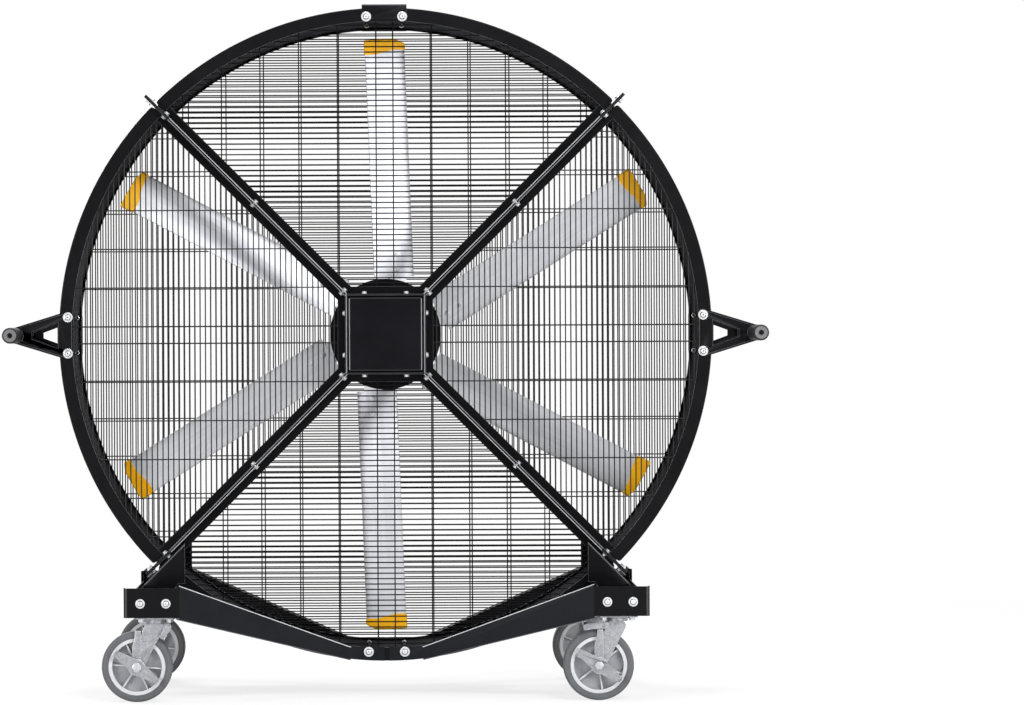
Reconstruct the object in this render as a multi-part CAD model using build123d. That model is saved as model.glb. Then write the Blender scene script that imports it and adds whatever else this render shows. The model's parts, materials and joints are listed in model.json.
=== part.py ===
from build123d import *
from math import atan2, cos, degrees, hypot, radians, sin, sqrt
import os

# Drum fan on a wheeled stand, 6.5 ft class. Millimetres, +Z up, front towards -Y,
# origin on the floor below the hub. Shapes around the hub are drawn for the top
# quadrant with the hub axis at the origin, then turned into place and lifted.

# --- whole fan
hub_height = 1100.0          # hub axis above the floor
sheet = 3.0                  # gauge of the folded steel
sheet_play = 0.5             # gap between neighbouring folded pieces
clear_base = 200.0           # base of a cutting wedge that must miss the hub
clear_reach = 1300.0         # far side of a cutting wedge
overrun = 5.0                # how far a cutting shape runs past the piece it cuts
sink = 1.0                   # how far two shapes of one piece run into each other

# --- ring
ring_radius = 996.0
ring_depth = 335.0
ring_lip = 40.0
ring_gap = 16.0              # between neighbouring quadrants, on the diagonals
ring_corner = 10.0

# --- wire guards
strut_width = 27.0
strut_height = 28.0
slit = 4.0                   # between the legs of neighbouring guards
tab_reach = 35.0             # strut legs stand out of the ring by this much
strut_end_gap = 11.0         # from the end of a strut's flat to the outside of the ring
hub_strip_width = 25.0
wire = 3.8
wire_pitch = 16.4
wire_weld = 0.4              # how far a weld lets two wires sink into each other
support_first = 26.0         # support wires, from the middle of the guard
support_pitch = 118.0
support_count = 6
edge_wire_depth = 36.0       # edge wire inside the outside of the ring
edge_wire_width = 5.0
wire_grip = 12.0             # overlap of a wire on the flat of its strut

# --- bolts
strut_bolt = 8.0
strut_bolt_hub_gap = 12.6    # innermost strut bolt beyond the corner of the hub box
strut_bolt_lip_gap = 50.0    # third bolt inside the outside of the ring
strut_bolt_tab_gap = 21.0    # outermost bolt inside the end of the tab
strut_washer = 18.4
ring_bolt = 8.0
ring_bolt_spread = 55.0      # to each side of the quadrant's middle
ring_bolt_depth = 26.0       # inside the outside of the ring
ring_washer = 30.0
hub_bolt_spread = 64.0
hub_washer = 17.6
bolt_play = 1.0              # hole over shank, on the diameter
washer_share = 0.2           # thickness of a washer, as a share of the bolt's diameter
hexagon_share = 0.92         # corner radius of heads and nuts
head_share = 0.65            # height of a head
nut_share = 0.8              # height of a nut

# --- tie plates
tie_plate_depth = 91.0       # full-depth plate starts this far inside the ring
tie_recess = 14.0            # filler strip behind the front edge of the legs

# --- hub
hub_box = 241.0
hub_box_depth = 92.0
hub_box_front = 196.0        # from the middle of the fan
hub_cover = 222.0
hub_cover_lift = 4.0         # cover face in front of the box rim
hub_cover_corner = 6.0
hub_back = 6.0

# --- motor and rotor
axle_radius = 20.0
axle_overhang = 16.0         # beyond the hub box back plates
axle_nut_radius = 34.0
axle_nut = 12.0
axle_shoulder = 8.0
axle_shoulder_length = 10.0
stator_radius = 104.0
stator_width = 50.0
stator_teeth = 12
tooth_width = 16.0
shoe_thickness = 5.0
slot_opening = 5.0
slot_depth = 32.0
tooth_sink = 2.0
coil_thickness = 7.0
coil_play = 0.5
air_gap = 1.2
magnet_thickness = 6.0
magnet_count = 24
magnet_gap_angle = 3.0
can_wall = 6.0
can_width = 84.0
plate_thickness = 6.0
drum_radius = 171.0
bearing_radius = 45.0
bearing_width = 22.0
bearing_inset = 2.0          # bearing centre beyond the middle of the rotor plate
bearing_play = 0.05
axle_play = 0.05
seal_outer = 36.0
seal_inner = 29.0
seal_depth = 1.5
boss_wall = 9.0

# --- blades
blade_count = 6
blade_tip_gap = 84.0         # blade tips inside the outside of the ring
blade_offset = 34.0          # blade line beside the hub axis
blade_chord = 134.0
blade_top = 13.0             # highest point of the section above its chord
blade_belly = 5.0            # lowest point below it
blade_edge = 2.0             # thickness of the trailing edge
blade_crest = 0.16           # crest ahead of mid chord, as a share of the chord
top_slope = 0.28             # of the skins where they leave the trailing edge
belly_slope = 0.08
blade_pitch = 24.0
blade_root = 176.0
winglet_height = 46.0
winglet_skin = 1.5           # winglet stands proud of the blade
winglet_sweep_run = 24.0
winglet_sweep_drop = 10.0
winglet_nose_height = 31.0
spar_width = 60.0
spar_height = 8.0
spar_play = 0.5
spar_reach = 90.0            # into the blade
spar_ahead = 12.0            # spar centre ahead of mid chord
spar_drop = 0.5              # spar centre below the middle of the section
spar_start = 16.0            # spar foot outside the foot of its root block
root_block = 74.0
root_play = 1.0
root_cover = 4.0             # rotor plates reach past the root blocks
blade_bolt = 8.0
blade_bolt_inset = 22.0
blade_bolt_seat = 1.0        # washers stand off the skins by this much

# --- brackets
bracket_width = 137.0
bracket_rise = 10.0          # top bracket above the ring
bracket_leg = 54.0

# --- handles
handle_stand_off = 132.0     # bar axis outside the ring
handle_tube = 38.0
handle_tube_wall = 2.5
handle_half_length = 337.0
grip_diameter = 48.0
grip_length = 146.0
handle_bolt_lobe = 18.0
handle_bar_lobe = 24.0
handle_plate = 4.0
handle_hole_ring_gap = 4.0
handle_hole_bar_gap = 53.0
handle_hole_tall = 36.5
handle_hole_short = 8.5
handle_collar_radius = 24.0
handle_collar_length = 18.0
handle_plug = 8.0
handle_play = 0.1
grip_cap = 3.0
grip_round = 2.5

# --- base
beam_inner = 632.0           # caster beam walls, from the middle plane
beam_outer = 748.0
beam_bottom = 255.5
beam_top = 344.0
base_half_depth = 400.0
beam_tab_half = 70.0
beam_tab_rise = 31.0
beam_tab_round = 12.0
block_inner = 619.0
block_outer = 786.0
block_lip = 30.0
block_bend = 12.0
block_bolts = (659.0, 736.0)
block_bolt_height = 298.0
base_bolt = 8.0
base_washer = 28.0
arm_outer_top = 352.0
arm_outer_bottom = 248.0
arm_inner = 111.0
arm_inner_top = 147.5
arm_tab_end = 7.0
arm_inner_rise = 2.0         # inner end of the arm above the bottom of the ring
arm_flange = 28.0
gusset_inner = 613.0
gusset_front = 203.0
gusset_offset = 18.0         # lower face of the gusset flange below the diagonal

# --- casters
caster_x = 692.0
caster_inset = 65.0          # swivel axis inside the ends of the base
caster_trail = 57.0
wheel_radius = 106.0
wheel_width = 50.0
rim_radius = 85.3
rim_thickness = 11.0
rim_width = 44.0
tyre_round = 9.0
wheel_web = 6.0
rib_count = 6
rib_thickness = 5.0
rib_width = 30.0
wheel_hub_radius = 20.0
caster_axle = 14.0
axle_head = 6.4              # bolt head beside the brake lever
axle_washer = 2.5
locknut = 8.0
axle_hexagon = 13.3          # corner radius
axle_end = 2.0               # axle stands out of the fork leg
pivot_play = 0.05            # radial, on every pin that something turns on
plate_length = 118.0
plate_width = 104.0
plate_corner = 9.0
plate_thick = 5.0
caster_bolt = 10.0
caster_bolt_x = 42.0
caster_bolt_y = 38.0
race_radius = 32.0
race_height = 13.0
king_pin = 20.0
king_head_radius = 17.0
king_head = 6.0
swivel_gap = 0.4
crown_thick = 8.0
crown_ahead = 24.5           # reach of the fork's top from the swivel axis
crown_behind = 34.5          # the same, towards the wheel
leg_thick = 3.5
leg_gap = 2.0                # between wheel hub and fork leg
leg_corner = 12.5            # radius of the upper corners of the legs
leg_foot_radius = 18.0
link_width = 26.0
link_neck = 20.0             # width above the shoulder of the link
link_top = 17.0              # width of its upper end
link_neck_low = 80.0         # heights above the wheel axle
link_shoulder = 62.0
link_low = 19.0              # brake link above the wheel axle
link_high = 108.0
lever_gap = 0.6
brake_length = 162.0
brake_middle_radius = 25.0
brake_end = 16.0
brake_thick = 3.5
brake_neck = 0.9             # half height of its middle, as a share of its round boss
brake_angle = -34.0
tread_depth = 12.0
tread_thick = 3.0
lock_width = 20.0
lock_pin = 8.0
lock_pin_head = 7.0          # radius
lock_pin_end = 4.0           # head stands out of the lever
lock_taper = 0.8             # end radius over foot radius
lock_tread_inset = 2.0
lock_pivot_x = 37.0          # beside the swivel axis
lock_pivot_drop = 10.5       # below the top of the fork
lock_lug = 9.0               # radius of the lug that carries the pivot

# --- terminal box
terminal_centre = 7.5
terminal_width = 47.0
terminal_front = 96.0
terminal_back = 146.0
terminal_bottom = 188.0      # below the hub axis
terminal_wall = 3.0
terminal_round = 6.0
gland_length = 26.0          # below the terminal box
gland_thread = 20.0
gland_hexagon = 16.0         # corner radius
gland_hexagon_height = 6.0
gland_bore = 12.0
gland_inside = 10.0          # thread standing up inside the box
gland_dome = 13.0            # radius
gland_round = 3.0
gland_play = 0.1

# --- derived radii, from the hub axis
tab_radius = ring_radius + tab_reach
strut_end_radius = ring_radius - strut_end_gap
edge_wire_radius = ring_radius - edge_wire_depth
tie_inner_radius = ring_radius - tie_plate_depth
ring_bolt_radius = ring_radius - ring_bolt_depth
blade_tip_radius = ring_radius - blade_tip_gap
handle_reach = ring_radius + handle_stand_off
handle_hole_inner = ring_radius + handle_hole_ring_gap
handle_hole_outer = handle_reach - handle_hole_bar_gap
hub_corner_radius = hub_box / sqrt(2)
inner_strut_bolt = hub_corner_radius + strut_bolt_hub_gap
lip_strut_bolt = ring_radius - strut_bolt_lip_gap
strut_bolt_radii = (inner_strut_bolt, (inner_strut_bolt + lip_strut_bolt) / 2,
                    lip_strut_bolt, tab_radius - strut_bolt_tab_gap)

# --- derived planes
ring_front = -ring_depth / 2
guard_front = ring_front + sheet            # flats lie behind the ring lip
leg_front = guard_front + sheet - strut_height
box_half = hub_box / 2
box_face = -hub_box_front
box_back = box_face + hub_box_depth
bolt_plane = (leg_front + guard_front) / 2
base_front = -base_half_depth
arm_inner_bottom = hub_height - ring_radius + arm_inner_rise
diagonals = (45, 135, 225, 315)
caster_y = base_half_depth - caster_inset
root2 = sqrt(2)

PARTS = {}


def keep(name, *solids):
    # one node: its solids side by side, never joined
    flat = [piece for group in solids for piece in group.solids()]
    PARTS[name] = Compound(children=flat) if len(flat) > 1 else flat[0]


def block(x0, x1, y0, y1, z0, z1):
    centre = Pos((x0 + x1) / 2, (y0 + y1) / 2, (z0 + z1) / 2)
    return centre * Box(abs(x1 - x0), abs(y1 - y0), abs(z1 - z0))


def slab(outline, y_front, y_back):
    # outline is drawn in X and Z; the slab lies between two planes of constant y
    start = Plane((0, y_back, 0), x_dir=(1, 0, 0), z_dir=(0, -1, 0))
    return extrude(start * outline, amount=y_back - y_front)


def disc(radius, y_front, y_back, bore=0.0):
    face = Circle(radius) - Circle(bore) if bore else Circle(radius)
    return slab(face, y_front, y_back)


def polygon(*corners):
    return make_face(Polyline(*corners, close=True))


def around(part, angle):
    return Pos(0, 0, hub_height) * Rot(0, angle, 0) * part


def lifted(part):
    return Pos(0, 0, hub_height) * part


def front_and_back(part):
    return [part, mirror(part, about=Plane.XZ)]


def left_and_right(part):
    return [part, mirror(part, about=Plane.YZ)]


def wedge(side, base, reach=clear_reach):
    # top quadrant, its sides moved in from the diagonals and its base from the hub wall
    low = box_half + base
    return polygon(
        (low - side * root2, low), (reach - side * root2, reach),
        (side * root2 - reach, reach), (side * root2 - low, low))


def bolt(size, grip, washer, nut_washer=True):
    # hexagon bolt along Z with its nut: clamps from z = 0 down to z = -grip
    washer_thick = washer_share * size
    nut = nut_share * size
    hexagon = RegularPolygon(hexagon_share * size, 6)
    head = Pos(0, 0, washer_thick) * extrude(hexagon, amount=head_share * size)
    top = extrude(Circle(washer / 2), amount=washer_thick)
    shank = Pos(0, 0, -grip) * extrude(Circle(size / 2), amount=grip + washer_thick)
    body = head + top + shank
    seat = -grip
    if nut_washer:
        seat -= washer_thick
        body += Pos(0, 0, seat) * top
    return body + Pos(0, 0, seat - nut) * extrude(hexagon, amount=nut)


def set_bolt(fastener, point, direction):
    return Plane(origin=point, z_dir=direction).location * fastener


# ------------------------------------------------------------------ ring

def ring_quadrant():
    # rolled channel: two lips joined by the web on their outer edge
    sector = Circle(ring_radius) - Circle(ring_radius - ring_lip)
    sector = sector & wedge(ring_gap / 2, clear_base)
    corners = [v for v in sector.vertices() if hypot(v.X, v.Y) > ring_radius - sheet]
    channel = slab(fillet(corners, ring_corner), ring_front, -ring_front)
    channel -= disc(ring_radius - sheet, ring_front + sheet, -ring_front - sheet)
    hole = disc((ring_bolt + bolt_play) / 2, ring_front * 2, -ring_front * 2)
    for x in (-ring_bolt_spread, ring_bolt_spread):
        channel -= Pos(x, 0, sqrt(ring_bolt_radius ** 2 - x ** 2)) * hole
    return channel


# ------------------------------------------------------------------ guards

def strut_place(radius, y, side=0.0):
    # a point on the right diagonal of the top quadrant, moved into the quadrant by side
    return Vector((radius - side) / root2, y, (radius + side) / root2)


def guard_frame():
    flats = (wedge(slit / 2, 0) - wedge(slit / 2 + strut_width, hub_strip_width))
    flats = flats & Circle(strut_end_radius)
    legs = (wedge(slit / 2, 0) - wedge(slit / 2 + sheet, sheet)) & Circle(tab_radius)
    frame = slab(flats, guard_front, guard_front + sheet)
    frame += slab(legs, leg_front, guard_front + sheet)
    drill = Cylinder((strut_bolt + bolt_play) / 2, 4 * sheet)
    for radius in strut_bolt_radii:
        hole = Plane(origin=strut_place(radius, bolt_plane), z_dir=(-1, 0, 1)).location * drill
        frame = frame - hole - mirror(hole, about=Plane.YZ)
    for x in (-hub_bolt_spread, hub_bolt_spread):
        frame -= Pos(x, bolt_plane, box_half) * drill
    return frame


def guard_wires():
    near = guard_front + sheet - wire_weld
    middle = near + wire
    far = middle - wire_weld + wire
    grip = slit / 2 + strut_width - wire_grip
    wires = []
    row = 0.5
    while row * wire_pitch < edge_wire_radius - wire_pitch / 2:
        z = row * wire_pitch
        row += 1
        if z < box_half + hub_strip_width:
            continue
        half = min(z - grip * root2, sqrt(edge_wire_radius ** 2 - z ** 2))
        wires.append(block(-half, half, near, middle, z - wire / 2, z + wire / 2))
    for number in range(support_count):
        x = support_first + number * support_pitch
        low = max(box_half + hub_strip_width - wire_grip, x + grip * root2)
        high = sqrt(edge_wire_radius ** 2 - x ** 2)
        support = block(x - wire / 2, x + wire / 2, middle - wire_weld, far, low, high)
        wires += left_and_right(support)
    rim = Circle(edge_wire_radius + edge_wire_width / 2)
    rim -= Circle(edge_wire_radius - edge_wire_width / 2)
    wires.append(slab(rim & wedge(grip, clear_base), near, far))
    return wires


def guard():
    wires = guard_wires()
    return guard_frame().fuse(*wires)


def strut_bolts():
    # through both legs and the tie between them, front and rear
    outer = slit / 2 + sheet
    fastener = bolt(strut_bolt, 2 * outer, strut_washer)
    found = []
    for radius in strut_bolt_radii:
        place = strut_place(radius, bolt_plane, outer)
        found.append(set_bolt(fastener, place, (-1, 0, 1)))
    return found


def tie_plates():
    # in the slit of the right diagonal: two filler strips and one full-depth plate
    half = slit / 2
    strip_front = leg_front + tie_recess
    strip = block(-half, half, strip_front, guard_front + sheet, box_half * root2, tie_inner_radius)
    plate = block(-half, half, leg_front, -leg_front, tie_inner_radius, tab_radius)
    pieces = front_and_back(strip) + [plate]
    drill = Rot(0, 90, 0) * Cylinder((strut_bolt + bolt_play) / 2, 4 * slit)
    drilled = []
    for piece in pieces:
        for radius in strut_bolt_radii:
            for y in (bolt_plane, -bolt_plane):
                piece = piece - Pos(0, y, radius) * drill
        drilled.append(piece)
    return drilled


# ------------------------------------------------------------------ hub

def hub_box_shell():
    inner = hub_box - 2 * sheet
    walls = slab(Rectangle(hub_box, hub_box) - Rectangle(inner, inner), box_face, box_back)
    back = slab(Rectangle(hub_box, hub_box) - Circle(axle_radius), box_back - hub_back, box_back)
    shell = walls + back
    drill = Cylinder((strut_bolt + bolt_play) / 2, 4 * sheet)
    for angle in (0, 90, 180, 270):
        for x in (-hub_bolt_spread, hub_bolt_spread):
            shell -= Rot(0, angle, 0) * Pos(x, bolt_plane, box_half) * drill
    return shell


def hub_cover_shell():
    # a shallow pan whose rear rim fills the mouth of the box, behind the bolts' tips
    mouth = hub_box - 2 * sheet
    face = box_face - hub_cover_lift
    outside = fillet(Rectangle(hub_cover, hub_cover).vertices(), hub_cover_corner)
    inside = offset(outside, amount=-sheet)
    pan_back = box_face + 3 * sheet
    pan = slab(outside, face, pan_back) - slab(inside, face + sheet, pan_back)
    rim = slab(Rectangle(mouth, mouth) - inside, pan_back - sheet, pan_back)
    return pan + rim


def hub_bolts():
    grip = 2 * sheet
    fastener = bolt(strut_bolt, grip, hub_washer)
    found = []
    for angle in (0, 90, 180, 270):
        for x in (-hub_bolt_spread, hub_bolt_spread):
            place = Pos(x, bolt_plane, box_half + sheet) * fastener
            found.append(around(place, angle))
    return found


def motor_axle():
    half = -box_back + hub_back + axle_overhang
    rod = disc(axle_radius, -half, half)
    # shoulders that hold the axle between the two hub boxes
    shoulder = disc(axle_radius + axle_shoulder, box_back, box_back + axle_shoulder_length)
    seat = box_back - hub_back
    nut = slab(RegularPolygon(axle_nut_radius, 6), seat - axle_nut, seat)
    for part in front_and_back(shoulder) + front_and_back(nut):
        rod += part
    return rod


def stator_core():
    yoke = stator_radius - slot_depth
    core = Circle(yoke)
    tooth = Pos(0, (yoke + stator_radius) / 2 - tooth_sink)
    tooth *= Rectangle(tooth_width, stator_radius - yoke + tooth_sink)
    shoe = Circle(stator_radius) - Circle(stator_radius - shoe_thickness)
    pitch = 360 / stator_teeth
    for number in range(stator_teeth):
        core += Rot(0, 0, number * pitch) * tooth
    opening = Pos(0, stator_radius) * Rectangle(slot_opening, 4 * shoe_thickness)
    for number in range(stator_teeth):
        shoe -= Rot(0, 0, (number + 0.5) * pitch) * opening
    face = (core + shoe) - Circle(axle_radius)
    return slab(face, -stator_width / 2, stator_width / 2)


def stator_coils():
    # a winding round each tooth, between yoke and shoe
    yoke = stator_radius - slot_depth
    low = sqrt(yoke ** 2 - (tooth_width / 2) ** 2) + 2 * coil_play
    corner = tooth_width / 2 + coil_thickness
    high = sqrt((stator_radius - shoe_thickness) ** 2 - corner ** 2) - coil_play
    outer = Rectangle(tooth_width + 2 * coil_thickness, stator_width + 2 * coil_thickness)
    inner = Rectangle(tooth_width, stator_width)
    coil = Pos(0, 0, low) * extrude(outer - inner, amount=high - low)
    coil -= disc(yoke + coil_play, -stator_width, stator_width)
    return [Rot(0, number * 360 / stator_teeth, 0) * coil for number in range(stator_teeth)]


plate_inner = can_width / 2
bearing_centre = plate_inner + plate_thickness / 2 + bearing_inset


def motor_bearings():
    face = -bearing_width / 2
    ring = disc(bearing_radius, face, -face, axle_radius + axle_play)
    groove = disc(seal_outer, face, face + seal_depth, seal_inner)
    ring = ring - groove - mirror(groove, about=Plane.XZ)
    return [Pos(0, -bearing_centre, 0) * ring, Pos(0, bearing_centre, 0) * ring]


def rotor_can():
    inner = stator_radius + air_gap + magnet_thickness
    return disc(inner + can_wall, -can_width / 2, can_width / 2, inner)


def rotor_magnets():
    inner = stator_radius + air_gap
    outer = inner + magnet_thickness
    span = 360 / magnet_count - magnet_gap_angle
    reach = 2 * outer
    ray = radians(span / 2)
    sector = polygon((0, 0), (reach * sin(ray), reach * cos(ray)), (-reach * sin(ray), reach * cos(ray)))
    arc = (Circle(outer) - Circle(inner)) & sector
    piece = slab(arc, -stator_width / 2, stator_width / 2)
    return [Rot(0, number * 360 / magnet_count, 0) * piece for number in range(magnet_count)]


def hub_plate():
    # front rotor plate with its bearing boss
    bore = bearing_radius + bearing_play
    front = -plate_inner - plate_thickness
    plate = disc(drum_radius, front, -plate_inner, bore)
    boss_front = -bearing_centre - bearing_width / 2
    plate += disc(bore + boss_wall, boss_front, -plate_inner, bore)
    return plate


# ------------------------------------------------------------------ blades
# Drawn for a blade that points up, beside the hub axis by blade_offset.

def section(proud=0.0):
    nose = blade_chord / 2 + proud
    tail = -blade_chord / 2 - proud
    crest = blade_crest * blade_chord
    top = Spline((tail, blade_edge / 2 + proud), (crest, blade_top + proud), (nose, 0),
                 tangents=[(1, top_slope), (0, -1)])
    belly = Spline((nose, 0), (crest, -blade_belly - proud), (tail, -blade_edge / 2 - proud),
                   tangents=[(0, -1), (-1, belly_slope)])
    close = Line((tail, -blade_edge / 2 - proud), (tail, blade_edge / 2 + proud))
    return make_face([top, belly, close])


def blade_frame(height):
    # plane across the blade: X along the chord towards its nose, Y towards the rear
    nose = (cos(radians(blade_pitch)), sin(radians(blade_pitch)), 0)
    return Plane((blade_offset, 0, height), x_dir=nose, z_dir=(0, 0, 1))


winglet_tip = sqrt(blade_tip_radius ** 2 - blade_offset ** 2)
winglet_low = winglet_tip - winglet_height
spar_rise = (blade_top - blade_belly) / 2 - spar_drop


def spar_face(play):
    return Pos(spar_ahead, spar_rise) * Rectangle(spar_width + 2 * play, spar_height + 2 * play)


def blade():
    face = section() - spar_face(spar_play)
    length = winglet_low - blade_root
    body = extrude(blade_frame(blade_root) * face, amount=length)
    return body - blade_bolt_holes()


def winglet():
    body = extrude(blade_frame(winglet_low) * section(winglet_skin), amount=winglet_height)
    half = 2 * blade_chord
    nose = blade_offset + (blade_chord / 2 + winglet_skin) * cos(radians(blade_pitch))
    drop = winglet_tip - winglet_sweep_drop
    swept = polygon((nose - winglet_sweep_run, winglet_tip), (nose, drop),
                    (nose + half, drop), (nose + half, winglet_tip + half),
                    (nose - winglet_sweep_run, winglet_tip + half))
    return body - slab(swept, -half, half)


def blade_bolt_places():
    heights = (blade_root + blade_bolt_inset, blade_root + spar_reach - blade_bolt_inset)
    return [blade_frame(height) * Pos(spar_ahead, 0, 0) for height in heights]


def blade_bolt_holes():
    drill = Rot(90, 0, 0) * Cylinder((blade_bolt + bolt_play) / 2, spar_width)
    holes = [place * drill for place in blade_bolt_places()]
    return holes[0] + holes[1]


def blade_bolts():
    top = blade_top + blade_bolt_seat
    low = blade_belly + blade_bolt_seat
    flat = Rot(-90, 0, 0) * bolt(blade_bolt, top + low, 2 * blade_bolt)
    return [place * Pos(0, top, 0) * flat for place in blade_bolt_places()]


def blade_root_piece():
    # block clamped between the rotor plates, with a spar that enters the blade
    foot = rotor_can_outer + root_play
    top = blade_root - root_play
    spar_foot = foot + spar_start
    reach = blade_root + spar_reach
    inner = block(blade_offset - root_block / 2, blade_offset + root_block / 2,
                  -plate_inner, plate_inner, foot / 2, top)
    inner = inner - disc(foot, -plate_inner * 2, plate_inner * 2)
    inner = inner & disc(drum_radius - root_cover, -plate_inner, plate_inner)
    spar = extrude(blade_frame(spar_foot) * spar_face(0), amount=reach - spar_foot)
    return (inner + spar) - blade_bolt_holes()


rotor_can_outer = stator_radius + air_gap + magnet_thickness + can_wall


def at_blades(*pieces):
    # tips stand at 30, 90, 150 ... degrees, so the offset is turned back
    lag = degrees(atan2(blade_offset, winglet_tip))
    return [around(piece, number * 360 / blade_count - lag)
            for number in range(blade_count) for piece in pieces]


# ------------------------------------------------------------------ brackets and handles

def top_bracket():
    half = bracket_width / 2
    roof = ring_radius + bracket_rise
    skin = ring_front - sheet
    front = block(-half, half, skin, ring_front, roof - bracket_leg, roof)
    cap = block(-half, half, skin, -skin, roof - sheet, roof)
    saddle = front + mirror(front, about=Plane.XZ) + cap
    hole = disc((ring_bolt + bolt_play) / 2, -2 * ring_depth, 2 * ring_depth)
    for x in (-ring_bolt_spread, ring_bolt_spread):
        saddle -= Pos(x, 0, sqrt(ring_bolt_radius ** 2 - x ** 2)) * hole
    return lifted(saddle)


def handle_plate_right():
    lobes = [Pos(ring_bolt_radius, z) * Circle(handle_bolt_lobe)
             for z in (-ring_bolt_spread, ring_bolt_spread)]
    lobes.append(Pos(handle_reach, 0) * Circle(handle_bar_lobe))
    outline = make_hull([edge for lobe in lobes for edge in lobe.edges()])
    outline = outline - polygon(
        (handle_hole_inner, -handle_hole_tall), (handle_hole_outer, -handle_hole_short),
        (handle_hole_outer, handle_hole_short), (handle_hole_inner, handle_hole_tall))
    outline = outline - Pos(handle_reach, 0) * Circle(handle_tube / 2 + handle_play)
    for z in (-ring_bolt_spread, ring_bolt_spread):
        x = sqrt(ring_bolt_radius ** 2 - z ** 2)
        outline = outline - Pos(x, z) * Circle((ring_bolt + bolt_play) / 2)
    return lifted(slab(outline, ring_front - handle_plate, ring_front))


def handle_bar_right():
    # tube closed by end plugs, with a welded collar behind each plate
    half = handle_half_length
    tube = disc(handle_tube / 2, -half, half, handle_tube / 2 - handle_tube_wall)
    plug = disc(handle_tube / 2, -half, -half + handle_plug)
    collar = disc(handle_collar_radius, ring_front, ring_front + handle_collar_length,
                  handle_tube / 2 - handle_tube_wall)
    for part in front_and_back(plug) + front_and_back(collar):
        tube += part
    return Pos(handle_reach, 0, hub_height) * tube


def handle_grips_right():
    end = -handle_half_length
    sleeve = disc(grip_diameter / 2, end - grip_cap, end + grip_length, handle_tube / 2)
    sleeve += disc(grip_diameter / 2, end - grip_cap, end)
    edge = sleeve.edges().group_by(Axis.Y)[0]
    sleeve = fillet(edge, grip_round)
    return [Pos(handle_reach, 0, hub_height) * part for part in front_and_back(sleeve)]


def ring_bolts():
    found = []
    # what lies in front of the lip: bracket, handle plate, arm tabs, handle plate
    covers = {0: sheet, 90: handle_plate, 180: sheet, 270: handle_plate}
    for angle, cover in covers.items():
        fastener = bolt(ring_bolt, cover + sheet, ring_washer, nut_washer=False)
        for x in (-ring_bolt_spread, ring_bolt_spread):
            z = sqrt(ring_bolt_radius ** 2 - x ** 2)
            place = set_bolt(fastener, (x, ring_front - cover, z), (0, -1, 0))
            found.append(around(place, angle))
    return found


# ------------------------------------------------------------------ base

def caster_beam_right():
    end = base_half_depth - sheet
    wall_in = block(beam_inner, beam_inner + sheet, -end, end, beam_bottom, beam_top)
    wall_out = block(beam_outer - sheet, beam_outer, -end, end, beam_bottom, beam_top)
    web = block(beam_inner, beam_outer, -end, end, beam_bottom, beam_bottom + sheet)
    tab = block(beam_outer - sheet, beam_outer, -beam_tab_half, beam_tab_half,
                beam_top - sink, beam_top + beam_tab_rise)
    tab = fillet(tab.edges().filter_by(Axis.X).group_by(Axis.Z)[-1], beam_tab_round)
    stop = block(beam_inner, beam_outer, -end, -end + sheet, beam_bottom, beam_top)
    beam = wall_in + wall_out + web + tab
    for part in front_and_back(stop):
        beam += part
    # the inner wall is notched where the ring sits down into the beam
    notch = ring_depth / 2 + sheet_play
    beam -= lifted(disc(ring_radius + sheet_play, -notch, notch))
    bore = disc((base_bolt + bolt_play) / 2, -2 * base_half_depth, 2 * base_half_depth)
    for x in block_bolts:
        beam -= Pos(x, 0, block_bolt_height) * bore
    drill = Cylinder((caster_bolt + bolt_play) / 2, 4 * plate_thick)
    for place in caster_bolt_places(1):
        beam -= place * Pos(0, 0, beam_bottom) * drill
    return beam


def base_arm_right_front():
    # one pressed piece: block plate with a rounded lip, tapered arm, inner tab
    back = base_front + sheet
    plate = block(block_inner, block_outer, base_front, back, beam_bottom, beam_top)
    lip = block(block_outer - sheet, block_outer, base_front, base_front + block_lip,
                beam_bottom, beam_top)
    corner = plate + lip
    for inset in (sheet, 0):
        point = Vector(block_outer - inset, base_front + inset, block_bolt_height)
        edge = corner.edges().filter_by(Axis.Z).sort_by_distance(point)[0]
        corner = fillet(edge, block_bend - inset)
    tab_front = ring_front - sheet
    run = Vector(arm_inner - block_inner, tab_front - base_front, 0)
    length = run.length
    # X runs inwards along the arm, Y up, Z to the rear of the web
    web_plane = Plane((block_inner, base_front, 0), x_dir=run, z_dir=Vector(0, 0, 1).cross(run) * -1)
    outline = polygon((0, arm_outer_bottom), (length, arm_inner_bottom),
                      (length, arm_inner_top), (0, arm_outer_top))
    beyond = length + overrun
    hollow = polygon((-overrun, arm_outer_bottom + sheet), (beyond, arm_inner_bottom + sheet),
                     (beyond, arm_inner_top - sheet), (-overrun, arm_outer_top - sheet))
    solid = extrude(web_plane * outline, amount=arm_flange)
    solid = solid - extrude(web_plane.offset(sheet) * hollow, amount=arm_flange)
    tab = polygon((arm_tab_end, -ring_radius), (arm_inner + sink, -ring_radius),
                  (arm_inner + sink, arm_inner_top - hub_height), (arm_tab_end, arm_inner_top - hub_height))
    tab = lifted(slab(tab & Circle(ring_radius), tab_front, tab_front + sheet))
    arm = corner + solid + tab
    # nothing of the arm may pass through the ring lip or the beam
    arm = arm - block(0, beam_inner + sheet_play, tab_front + sheet, 0, 0, 2 * arm_outer_top)
    arm = arm - block(beam_inner - sheet_play, beam_outer + sheet_play, back, 0, 0, 2 * arm_outer_top)
    hole = disc((ring_bolt + bolt_play) / 2, -2 * base_half_depth, 0)
    arm -= Pos(ring_bolt_spread, 0, hub_height - sqrt(ring_bolt_radius ** 2 - ring_bolt_spread ** 2)) * hole
    for x in block_bolts:
        arm -= Pos(x, 0, block_bolt_height) * hole
    return arm


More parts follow.
